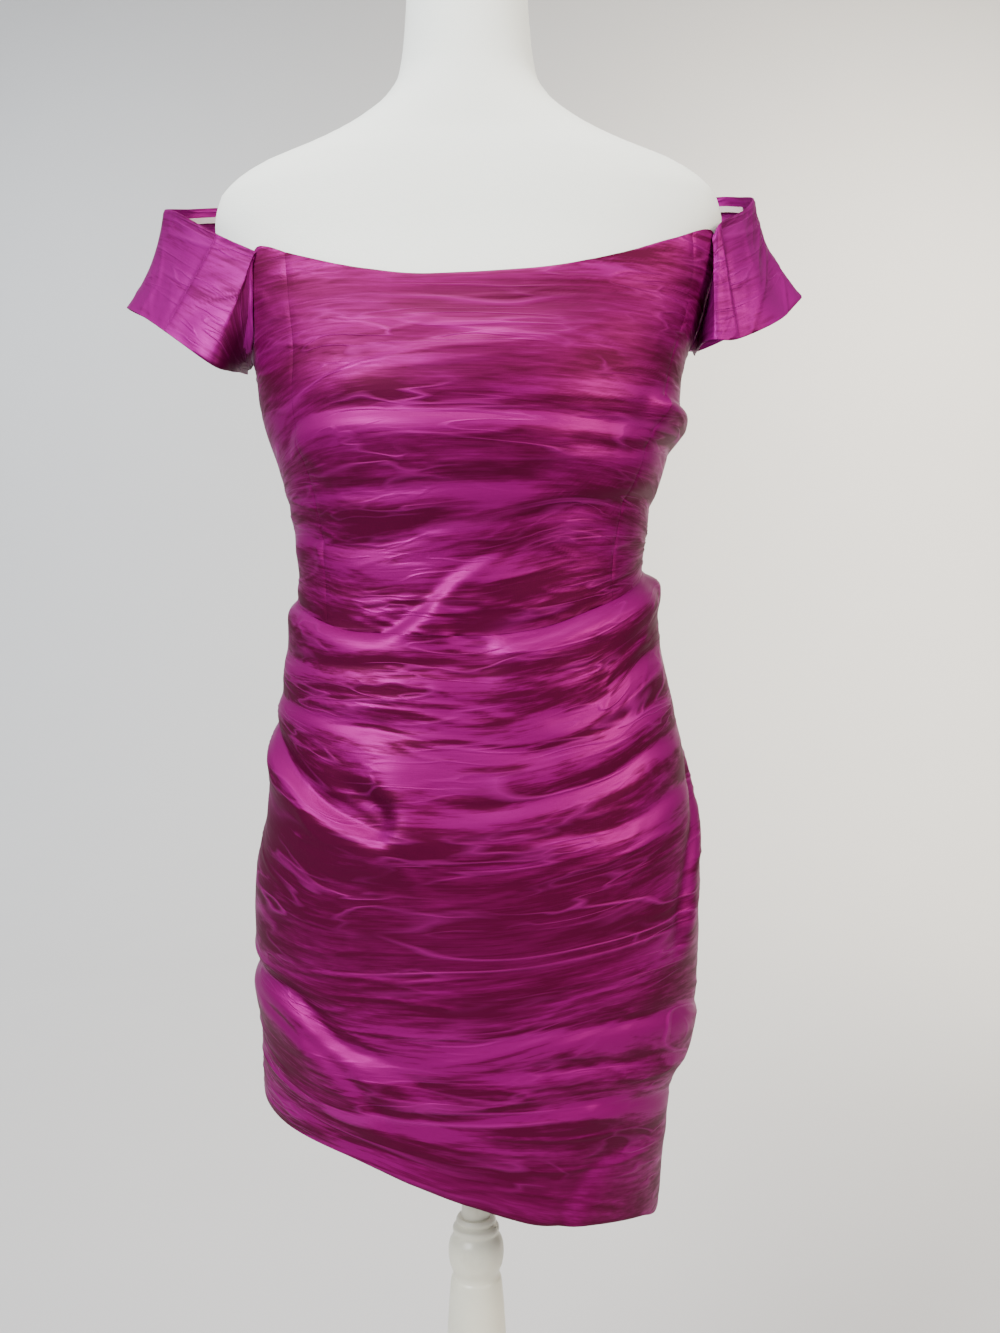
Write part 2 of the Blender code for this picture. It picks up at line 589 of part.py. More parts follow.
def centre_back(sign):
    """The edge of a back panel beside the zip, and below its end beside the other panel."""
    zip_half = ZIP_HALF_WIDTH + ZIP_GAP
    taper = 0.010

    def edge(height):
        height = np.asarray(height, dtype=float)
        right, left, _, _, square = read_table(DRESS_SECTIONS, "height", height)
        open_share = np.clip((height - ZIP_END + 3 * taper) / taper, 0, 1)
        half = SEAM_GAP / 2 + open_share * (zip_half - SEAM_GAP / 2)
        side = left if sign > 0 else right
        return sign * (180 - np.degrees(np.arcsin((half / side) ** (square / 2))))

    return edge


def even_shares(columns):
    return np.linspace(0, 1, columns + 1)


def make_panel(name, grid, collection, finish=TAFFETA):
    outer, inner = cloth_wall(*grid)
    return add_object(name, mesh_from_grids(name, outer, inner, False), collection, finish)


def make_bodice_front(collection):
    sides = (seam(PRINCESS_RIGHT, 1), seam(PRINCESS_LEFT, -1))
    grid = panel_grid(bodice_bottom, top_edge, sides, even_shares(BODICE_COLUMNS), BODICE_ROWS + 1)
    make_panel("bodice_front", grid, collection)


def make_bodice_sides(collection):
    corner_share = (0.0, 0.18, 0.36, 0.57, 0.78, 1.0)
    sides = (seam(PRINCESS_RIGHT, -1), side_seam(-90, 1))
    grid = panel_grid(bodice_bottom, top_edge, sides, corner_share, BODICE_ROWS + 1)
    make_panel("bodice_side_right", grid, collection)
    corner_share = (0.0, 0.257, 0.49, 0.74, 1.0)
    sides = (seam(PRINCESS_LEFT, 1), side_seam(90, -1))
    grid = panel_grid(bodice_bottom, top_edge, sides, corner_share, BODICE_ROWS + 1)
    make_panel("bodice_side_left", grid, collection)


def make_skirt_front(collection):
    """The draped skirt front, whose rows sag between the hips as its folds do."""
    sides = (side_seam(-90, 1), side_seam(90, -1))
    sag = 0.028
    angle, height = panel_grid(hem_edge, skirt_top, sides, even_shares(SKIRT_COLUMNS), SKIRT_ROWS + 1)
    rise = np.linspace(0, 1, SKIRT_ROWS + 1)[:, None]
    height = height + 4 * rise * (1 - rise) * sag * ((angle / 90) ** 2 - 0.5)
    make_panel("skirt_front", (angle, height), collection)


def make_backs(collection):
    sides = (side_seam(-90, -1), centre_back(-1))
    grid = panel_grid(hem_edge, top_edge, sides, even_shares(BACK_COLUMNS), BACK_ROWS + 1)
    make_panel("back_right", grid, collection)
    sides = (side_seam(90, 1), centre_back(1))
    grid = panel_grid(hem_edge, top_edge, sides, even_shares(BACK_COLUMNS), BACK_ROWS + 1)
    make_panel("back_left", grid, collection)


def armhole_points(angles):
    """Points of the sleeve's sewn edge, lapped just outside the bodice's armhole edge."""
    heights = top_edge(angles) - SLEEVE_LAP
    base = body_point(DRESS_SECTIONS, angles, heights)
    normal = body_normal(DRESS_SECTIONS, angles, heights)
    corner_spread = 10.0
    at_corner = np.exp(-(((np.abs(angles) - 120) / corner_spread) ** 2))
    stand = relief(angles, heights) + SLEEVE_STAND + BACK_CORNER_STAND * at_corner
    return base + normal * stand[..., None]


def ring_inward(points):
    """The level direction into each closed ring of a grid, square to the way the ring runs."""
    along = np.roll(points, -1, axis=1) - np.roll(points, 1, axis=1)
    after = np.roll(points, -1, axis=1)
    area = np.sum(points[..., 0] * after[..., 1] - points[..., 1] * after[..., 0], axis=1)
    turn = np.sign(area)[:, None]
    flat = np.stack([-along[..., 1] * turn, along[..., 0] * turn, np.zeros(along.shape[:2])], axis=-1)
    return unit(flat)


def sleeve_grids(free_places, armhole_places, ripples):
    """Outer and inner points of a sleeve, from its hem up, round the arm from the front of the
    armhole outwards, over the shoulder and back under the arm."""
    free_count = len(free_places)
    place_count = free_count + len(armhole_places)
    where = np.arange(SLEEVE_COLUMNS) * place_count / SLEEVE_COLUMNS
    hems = [place.hem for place in free_places] + [place.hem for place in armhole_places]
    hem_ring = smooth_ring(hems, SLEEVE_COLUMNS)
    armhole_angles = np.array([float(place.angle) for place in armhole_places])
    on_armhole = (where >= free_count) & (where <= place_count - 1)
    from_corner = np.clip(where - free_count, 0, len(armhole_places) - 1)
    sewn = armhole_points(np.interp(from_corner, np.arange(len(armhole_places)), armhole_angles))
    corners = armhole_points(armhole_angles[[-1, 0]])
    free_route = [corners[0]] + [place.top for place in free_places] + [corners[1]]
    fine_steps = 40
    free_line = smooth_route(free_route, (free_count + 1) * fine_steps + 1)
    free_at = ((where + 1) % place_count) * fine_steps
    free_index = np.clip(np.round(free_at).astype(int), 0, len(free_line) - 1)
    top_ring = np.where(on_armhole[:, None], sewn, free_line[free_index])
    drop = np.linspace(0, 1, SLEEVE_ROWS + 1)[:, None]
    surface = hem_ring[None] * (1 - drop[..., None]) + top_ring[None] * drop[..., None]
    round_share = where / place_count
    middle = (free_count - 1) / 2 / place_count
    on_free = np.clip(1 - np.abs(round_share - middle) / (2.6 / place_count), 0, 1)
    curve = -SLEEVE_WAIST * 4 * drop * (1 - drop) * on_free[None]
    for ripple in ripples:
        spread = (round_share - ripple.place + 0.5) % 1.0 - 0.5
        curve = curve + ripple.height * (1 - drop) ** 1.5 * np.exp(-((spread / ripple.width) ** 2))
    outer = surface - ring_inward(surface) * curve[..., None]
    return outer, outer + ring_inward(outer) * CLOTH


def make_sleeves(collection):
    """Both sleeves, and the pale tape sewn inside the back of each below its top edge."""
    sides = (
        ("right", SLEEVE_RIGHT, ARMHOLE_RIGHT, RIPPLES_RIGHT),
        ("left", SLEEVE_LEFT, ARMHOLE_LEFT, RIPPLES_LEFT),
    )
    for side, free_places, armhole_places, ripples in sides:
        name = "sleeve_" + side
        outer, inner = sleeve_grids(free_places, armhole_places, ripples)
        add_object(name, mesh_from_grids(name, outer, inner, True), collection, TAFFETA_SLEEVE)
        make_tape("tape_" + side, inner, outer - inner, collection)


def make_tape(name, inner, wall, collection):
    first, last = 9, 13
    columns = slice(first, last + 1)
    height = inner[-1, columns, 2] - inner[0, columns, 2]
    top_share = 1 - 0.009 / height
    bottom_share = top_share - TAPE_WIDTH / height
    inward = -unit(wall[-1, columns])
    rows = []
    for share in (bottom_share, top_share):
        where = share * SLEEVE_ROWS
        row = np.floor(where).astype(int)
        part = (where - row)[:, None]
        picked = np.arange(first, last + 1)
        point = inner[row, picked] * (1 - part) + inner[np.minimum(row + 1, SLEEVE_ROWS), picked] * part
        rows.append(point)
    lying = np.stack(rows)
    outer = lying + inward * 0.0006
    far = outer + inward * TAPE_THICKNESS
    add_object(name, mesh_from_grids(name, outer, far, False), collection, PALE_TAPE)


def make_form(collection):
    """The limbless torso, closed at the neck and underneath."""
    heights = np.array([section.height for section in FORM_SECTIONS])[::-1]
    angles = np.arange(FORM_COLUMNS) * 360 / FORM_COLUMNS - 180
    rings = body_point(FORM_SECTIONS, angles[None, :], heights[:, None])
    torso = bmesh.new()
    verts = [[torso.verts.new(point) for point in ring] for ring in rings]
    for lower, upper in zip(verts, verts[1:]):
        for j in range(FORM_COLUMNS):
            k = (j + 1) % FORM_COLUMNS
            torso.faces.new((lower[j], lower[k], upper[k], upper[j]))
    torso.faces.new(verts[0][::-1])
    torso.faces.new(verts[-1])
    bmesh.ops.recalc_face_normals(torso, faces=torso.faces)
    mesh = bpy.data.meshes.new("form_torso")
    torso.to_mesh(mesh)
    torso.free()
    mesh.shade_smooth()
    mesh.set_sharp_from_angle(angle=math.radians(50))
    add_object("form_torso", mesh, collection, FORM_JERSEY)


def make_turned(name, profile, collection):
    """A turned piece: its profile, closed to the axis at both ends, with a Screw modifier."""
    points = [(0, 0, profile[0].height)]
    points += [(point.radius, 0, point.height) for point in profile]
    points.append((0, 0, profile[-1].height))
    mesh = bpy.data.meshes.new(name)
    mesh.from_pydata(points, [(i, i + 1) for i in range(len(points) - 1)], [])
    turned = add_object(name, mesh, collection, PAINTED_WOOD)
    screw = turned.modifiers.new("turn", "SCREW")
    screw.axis = "Z"
    screw.steps = TURN_STEPS
    screw.render_steps = TURN_STEPS
    screw.use_merge_vertices = True
    screw.merge_threshold = 0.00001
    screw.use_smooth_shade = True
    return turned


def zip_point(height):
    """The cloth's outer point at the centre back."""
    base = body_point(DRESS_SECTIONS, np.array(180.0), np.asarray(height, dtype=float))
    stand = relief(np.array(180.0), np.asarray(height, dtype=float))
    return base + np.array([0.0, 1.0, 0.0]) * stand[..., None]


def make_zip_chain(collection):
    """The closed zip, a strip between the two back panels and level with them."""
    below_face = 0.0003
    thickness = 0.0014
    heights = np.linspace(ZIP_END, ZIP_TOP, ZIP_ROWS + 1)
    middle = zip_point(heights)
    middle[:, 1] -= below_face
    half = np.array([ZIP_HALF_WIDTH, 0.0, 0.0])
    outer = np.stack([middle + half, middle - half], axis=1)
    inner = outer - np.array([0.0, thickness, 0.0])
    add_object("zip_chain", mesh_from_grids("zip_chain", outer, inner, False), collection, ZIP_CHAIN)


def box(name, size, centre, collection):
    bpy.ops.mesh.primitive_cube_add(size=1)
    made = bpy.context.active_object
    made.name = name
    made.data.name = name
    made.scale = size
    made.location = centre
    bpy.ops.object.transform_apply(location=True, rotation=False, scale=True)
    for owner in list(made.users_collection):
        owner.objects.unlink(made)
    collection.objects.link(made)
    return made


def join_solid(base, tool, name):
    """Adds a Boolean union of a helper object to a piece."""
    union = base.modifiers.new(name, "BOOLEAN")
    union.operation = "UNION"
    union.solver = "EXACT"
    union.object = tool
    tool.hide_render = True
    tool.display_type = "WIRE"


SLIDER = {
    "width": 0.0060,
    "length": 0.0090,
    "thickness": 0.0022,
    "bridge_width": 0.0020,
    "bridge_length": 0.0056,
    "bridge_bar": 0.0009,
    "window_height": 0.0032,
}
TAB_LENGTH = 0.0165
TAB_WIDTH = 0.0056
TAB_THICKNESS = 0.0010
TAB_BAR = 0.0012
TAB_WINDOW = 0.0048


def zip_slope():
    """The back's lean at the slider: the turn about X that lays the slider on the cloth."""
    step = 0.010
    above = zip_point(SLIDER_HEIGHT + step)
    below = zip_point(SLIDER_HEIGHT - step)
    return math.atan2(below[1] - above[1], above[2] - below[2])


def make_slider(collection, cutters):
    """The slider's body with its bridge, laid on the chain at the top of the zip. Its own +Y points
    out of the cloth. Returns the hinge point under the bridge, in the world."""
    seat_gap = 0.0004
    body = box("zip_slider", (SLIDER["width"], SLIDER["thickness"], SLIDER["length"]),
               (0, SLIDER["thickness"] / 2, 0), collection)
    body.data.materials.clear()
    body.data.materials.append(new_material("zip_slider", ENAMEL))
    leg_height = SLIDER["window_height"] + SLIDER["bridge_bar"]
    sink = 0.0006
    for end, name in ((1, "slider_leg_upper"), (-1, "slider_leg_lower")):
        leg_z = end * (SLIDER["bridge_length"] - SLIDER["bridge_bar"]) / 2
        leg = box(name, (SLIDER["bridge_width"], leg_height + sink, SLIDER["bridge_bar"]),
                  (0, SLIDER["thickness"] + (leg_height - sink) / 2, leg_z), cutters)
        join_solid(body, leg, name)
        leg.parent = body
    bar_y = SLIDER["thickness"] + SLIDER["window_height"] + SLIDER["bridge_bar"] / 2
    bar = box("slider_bar", (SLIDER["bridge_width"], SLIDER["bridge_bar"], SLIDER["bridge_length"]),
              (0, bar_y, 0), cutters)
    join_solid(body, bar, "bridge bar")
    bar.parent = body
    slope = zip_slope()
    seat = zip_point(SLIDER_HEIGHT)
    body.location = seat + np.array([0.0, seat_gap, 0.0])
    body.rotation_euler = (slope, 0, 0)
    hinge_y = SLIDER["thickness"] + SLIDER["window_height"] / 2
    hinge_z = SLIDER["bridge_length"] / 2 - SLIDER["bridge_bar"] - 0.0012
    return np.array([
        0.0,
        body.location[1] + hinge_y * math.cos(slope) - hinge_z * math.sin(slope),
        body.location[2] + hinge_y * math.sin(slope) + hinge_z * math.cos(slope),
    ])


def closed_outline(curve, points):
    spline = curve.splines.new("POLY")
    spline.points.add(len(points) - 1)
    for place, (x, y) in zip(spline.points, points):
        place.co = (x, y, 0, 1)
    spline.use_cyclic_u = True


def make_tab(hinge, collection):
    """The pull tab: a flat plate that hangs by its top bar from the slider's bridge. Its origin is
    on the hinge axis, which runs along X through the bar."""
    curve = bpy.data.curves.new("zip_tab", "CURVE")
    curve.dimensions = "2D"
    curve.fill_mode = "BOTH"
    curve.extrude = TAB_THICKNESS / 2
    half = TAB_WIDTH / 2
    tip = 0.0016
    top = TAB_BAR / 2
    chamfer = 0.0008
    closed_outline(curve, [
        (-half + chamfer, top), (-half, top - chamfer), (-half, -TAB_BAR - TAB_WINDOW),
        (-tip, -TAB_LENGTH + chamfer), (-tip + chamfer, -TAB_LENGTH),
        (tip - chamfer, -TAB_LENGTH), (tip, -TAB_LENGTH + chamfer),
        (half, -TAB_BAR - TAB_WINDOW), (half, top - chamfer), (half - chamfer, top),
    ])
    window = half - 0.0011
    closed_outline(curve, [
        (-window, -top), (window, -top), (window, -top - TAB_WINDOW), (-window, -top - TAB_WINDOW),
    ])
    tab = add_object("zip_tab", curve, collection, ENAMEL)
    tab.location = hinge
    tab.rotation_euler = (math.radians(90), 0, 0)
    return tab


def main():
    clear_scene()
    dress = new_collection("off_shoulder_dress_on_form")
    cutters = new_collection("slider_helpers")
    cutters.hide_render = True
    make_form(dress)
    make_turned("stand_post", POST_PROFILE, dress)
    make_turned("stand_base", BASE_PROFILE, dress)
    make_bodice_front(dress)
    make_bodice_sides(dress)
    make_skirt_front(dress)
    make_backs(dress)
    make_sleeves(dress)
    make_zip_chain(dress)
    hinge = make_slider(dress, cutters)
    make_tab(hinge, dress)


main()
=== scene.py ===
"""An off-shoulder dress of crinkled taffeta on a dress form with a turned stand, in metres.

A place on the cloth is an angle and a height: 0 degrees is the centre front, 90 the wearer's left
side, -90 the right side and 180 the centre back.
"""

import json
import logging
import math
from collections.abc import Callable
from dataclasses import dataclass, field
from enum import Enum
from functools import cached_property
from typing import Any, NamedTuple

import bpy
import numpy as np
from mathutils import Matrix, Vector

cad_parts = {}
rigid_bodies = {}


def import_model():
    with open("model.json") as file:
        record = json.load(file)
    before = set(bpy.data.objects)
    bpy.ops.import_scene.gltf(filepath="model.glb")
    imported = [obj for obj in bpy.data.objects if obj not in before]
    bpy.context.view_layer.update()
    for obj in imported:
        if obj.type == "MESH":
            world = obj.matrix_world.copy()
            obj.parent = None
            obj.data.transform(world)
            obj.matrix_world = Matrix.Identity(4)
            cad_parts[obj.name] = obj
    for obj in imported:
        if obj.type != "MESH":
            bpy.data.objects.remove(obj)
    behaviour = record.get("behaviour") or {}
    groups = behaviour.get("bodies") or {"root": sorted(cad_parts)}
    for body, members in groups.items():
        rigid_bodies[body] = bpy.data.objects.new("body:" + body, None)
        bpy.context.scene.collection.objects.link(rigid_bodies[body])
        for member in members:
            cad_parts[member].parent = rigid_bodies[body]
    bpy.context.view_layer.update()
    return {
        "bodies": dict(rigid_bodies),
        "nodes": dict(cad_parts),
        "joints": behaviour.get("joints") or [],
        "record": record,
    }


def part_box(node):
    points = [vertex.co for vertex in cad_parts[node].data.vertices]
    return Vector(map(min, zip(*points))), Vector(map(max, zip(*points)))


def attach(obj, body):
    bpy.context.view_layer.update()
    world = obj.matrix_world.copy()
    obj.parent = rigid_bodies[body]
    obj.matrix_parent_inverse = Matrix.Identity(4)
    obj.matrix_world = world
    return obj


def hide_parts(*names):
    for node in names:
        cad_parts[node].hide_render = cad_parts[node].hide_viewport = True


LOG = logging.getLogger("dress")
Array = np.ndarray
Colour = tuple[float, float, float]


class Body(Enum):
    """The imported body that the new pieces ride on."""

    DRESS = "dress_on_form"


class Hold(Enum):
    """How a sheet of cloth is held."""

    GATHERED = "gathered"
    HUNG = "hung"


class Section(NamedTuple):
    """A level section of the body: its four radii and how square its oval is."""

    height: float
    right: float
    left: float
    front: float
    back: float
    square: float


class EdgePoint(NamedTuple):
    """A point of an edge that runs round the body."""

    angle: float
    height: float


class SeamPoint(NamedTuple):
    """A point of a seam that runs down the body."""

    height: float
    angle: float


class Fold(NamedTuple):
    """A crease along a route and the ridge on its right-hand side, in millimetres."""

    ridge: float
    width: float
    crease: float
    fade: str
    route: tuple[tuple[float, float], ...]


class SleevePlace(NamedTuple):
    """A place round the arm, with the sleeve's top edge and its hem."""

    top: tuple[float, float, float]
    hem: tuple[float, float, float]


class ArmholePlace(NamedTuple):
    """A place on the armhole, with the sleeve's hem below it."""

    angle: float
    hem: tuple[float, float, float]


class SleeveRipple(NamedTuple):
    """A flute that runs down a sleeve to its hem."""

    place: float
    width: float
    height: float


class TurnPoint(NamedTuple):
    """A point of a turned profile."""

    radius: float
    height: float


class FlowLine(NamedTuple):
    """A line that the crinkles follow round the body: its level and its heights every so often."""

    level: float
    right: float
    right_hip: float
    right_front: float
    centre: float
    left_front: float
    left_hip: float
    left: float
    left_back: float
    back: float
    right_back: float


class SoftArea(NamedTuple):
    """A soft-edged area of the cloth and how much it changes there."""

    angle: float
    height: float
    across: float
    tall: float
    amount: float


def as_rows(kind: Callable[..., Any], *rows: tuple[float, ...]) -> tuple[Any, ...]:
    """Rows of numbers as rows with named columns."""
    return tuple(kind(*row) for row in rows)


# Sizes that the tables share
FORM_BOTTOM = 0.730
STAND_TOP = FORM_BOTTOM - 0.0003
BASE_RADIUS = 0.170
BASE_TOP = 0.046

# The dress form
FORM_SECTIONS: tuple[Section, ...] = (
    Section(1.560, 0.0490, 0.0490, 0.0500, 0.0500, 2.0),
    Section(1.500, 0.0530, 0.0530, 0.0520, 0.0540, 2.0),
    Section(1.468, 0.0580, 0.0580, 0.0540, 0.0580, 2.0),
    Section(1.446, 0.0720, 0.0720, 0.0570, 0.0640, 2.0),
    Section(1.428, 0.0960, 0.0960, 0.0600, 0.0710, 2.0),
    Section(1.414, 0.1220, 0.1220, 0.0620, 0.0760, 2.05),
    Section(1.402, 0.1500, 0.1500, 0.0640, 0.0800, 2.1),
    Section(1.391, 0.1760, 0.1760, 0.0670, 0.0830, 2.2),
    Section(1.379, 0.1950, 0.1950, 0.0700, 0.0860, 2.2),
    Section(1.365, 0.2060, 0.2060, 0.0730, 0.0890, 2.3),
    Section(1.345, 0.2100, 0.2100, 0.0770, 0.0930, 2.3),
    Section(1.320, 0.2060, 0.2060, 0.0820, 0.0980, 2.3),
    Section(1.290, 0.1960, 0.1960, 0.0900, 0.1020, 2.35),
    Section(1.260, 0.1850, 0.1850, 0.1000, 0.1050, 2.35),
    Section(1.220, 0.1705, 0.1705, 0.1160, 0.1060, 2.35),
    Section(1.180, 0.1640, 0.1640, 0.1240, 0.1040, 2.3),
    Section(1.140, 0.1515, 0.1515, 0.1200, 0.1000, 2.25),
    Section(1.100, 0.1420, 0.1420, 0.1080, 0.0950, 2.2),
    Section(1.060, 0.1376, 0.1376, 0.0995, 0.0910, 2.2),
    Section(1.000, 0.1445, 0.1445, 0.0970, 0.0960, 2.2),
    Section(0.960, 0.1508, 0.1508, 0.1023, 0.1053, 2.2),
    Section(0.920, 0.1548, 0.1548, 0.1063, 0.1133, 2.2),
    Section(0.880, 0.1598, 0.1598, 0.1113, 0.1193, 2.2),
    Section(0.840, 0.1678, 0.1678, 0.1163, 0.1223, 2.2),
    Section(0.800, 0.1735, 0.1735, 0.1173, 0.1213, 2.2),
    Section(0.760, 0.1733, 0.1733, 0.1158, 0.1173, 2.2),
    Section(FORM_BOTTOM, 0.1700, 0.1700, 0.1110, 0.1100, 2.2),
)

# The cloth's base surface, just off the form and fuller on the wearer's left hip
DRESS_SECTIONS: tuple[Section, ...] = (
    Section(1.402, 0.1590, 0.1590, 0.0690, 0.0850, 2.1),
    Section(1.391, 0.1845, 0.1845, 0.0720, 0.0880, 2.2),
    Section(1.379, 0.2030, 0.2030, 0.0745, 0.0905, 2.2),
    Section(1.365, 0.2137, 0.2137, 0.0770, 0.0944, 2.3),
    Section(1.345, 0.2160, 0.2160, 0.0805, 0.0982, 2.3),
    Section(1.320, 0.2105, 0.2105, 0.0852, 0.1022, 2.3),
    Section(1.290, 0.1992, 0.1992, 0.0932, 0.1052, 2.35),
    Section(1.260, 0.1882, 0.1882, 0.1032, 0.1082, 2.35),
    Section(1.220, 0.1740, 0.1740, 0.1192, 0.1092, 2.35),
    Section(1.180, 0.1672, 0.1690, 0.1272, 0.1072, 2.3),
    Section(1.140, 0.1547, 0.1547, 0.1232, 0.1032, 2.25),
    Section(1.100, 0.1452, 0.1452, 0.1112, 0.0982, 2.2),
    Section(1.060, 0.1408, 0.1408, 0.1027, 0.0942, 2.2),
    Section(1.000, 0.1477, 0.1510, 0.1002, 0.0992, 2.2),
    Section(0.960, 0.1540, 0.1610, 0.1055, 0.1085, 2.2),
    Section(0.920, 0.1580, 0.1695, 0.1095, 0.1165, 2.2),
    Section(0.880, 0.1630, 0.1755, 0.1145, 0.1225, 2.2),
    Section(0.840, 0.1710, 0.1810, 0.1195, 0.1255, 2.2),
    Section(0.800, 0.1770, 0.1820, 0.1205, 0.1245, 2.2),
    Section(0.760, 0.1765, 0.1820, 0.1190, 0.1205, 2.2),
    Section(0.720, 0.1715, 0.1810, 0.1165, 0.1165, 2.2),
    Section(0.680, 0.1710, 0.1765, 0.1140, 0.1120, 2.2),
    Section(0.655, 0.1710, 0.1640, 0.1130, 0.1110, 2.2),
    Section(0.630, 0.1700, 0.1575, 0.1120, 0.1100, 2.2),
    Section(0.580, 0.1655, 0.1515, 0.1100, 0.1080, 2.2),
    Section(0.500, 0.1580, 0.1465, 0.1080, 0.1060, 2.2),
)

# Edges round the body
TOP_EDGE: tuple[EdgePoint, ...] = as_rows(
    EdgePoint,
    (-180, 1.362), (-150, 1.369), (-126, 1.379), (-121, 1.364), (-112, 1.318), (-102, 1.270),
    (-92, 1.240), (-82, 1.233), (-72, 1.236), (-65, 1.246), (-59, 1.268), (-49, 1.309),
    (-38, 1.298), (-20, 1.281), (-6, 1.274), (10, 1.278), (32, 1.295), (47, 1.312), (64, 1.327),
    (72, 1.309), (80, 1.283), (86, 1.260), (92, 1.249), (99, 1.256), (106, 1.282), (114, 1.325),
    (121, 1.366), (126, 1.380), (150, 1.369), (180, 1.362),
)
WAIST_EDGE: tuple[EdgePoint, ...] = as_rows(
    EdgePoint,
    (-90, 1.040), (-78, 1.034), (-50, 1.016), (-36, 1.008), (-26, 1.006), (2, 1.003),
    (16, 1.007), (38, 1.023), (66, 1.043), (90, 1.061),
)
HEM_EDGE: tuple[EdgePoint, ...] = as_rows(
    EdgePoint,
    (-180, 0.600), (-140, 0.618), (-100, 0.637), (-80, 0.636), (-54, 0.626), (-32, 0.616),
    (-12, 0.596), (8, 0.573), (18, 0.565), (37, 0.559), (58, 0.551), (73, 0.543), (90, 0.548),
    (120, 0.563), (180, 0.600),
)

# Seams down the body
PRINCESS_RIGHT: tuple[SeamPoint, ...] = as_rows(
    SeamPoint,
    (1.000, -46), (1.080, -50), (1.155, -51), (1.214, -46), (1.301, -40),
)
PRINCESS_LEFT: tuple[SeamPoint, ...] = as_rows(
    SeamPoint,
    (1.000, 47), (1.108, 52), (1.189, 60), (1.241, 64), (1.278, 62), (1.318, 55),
)

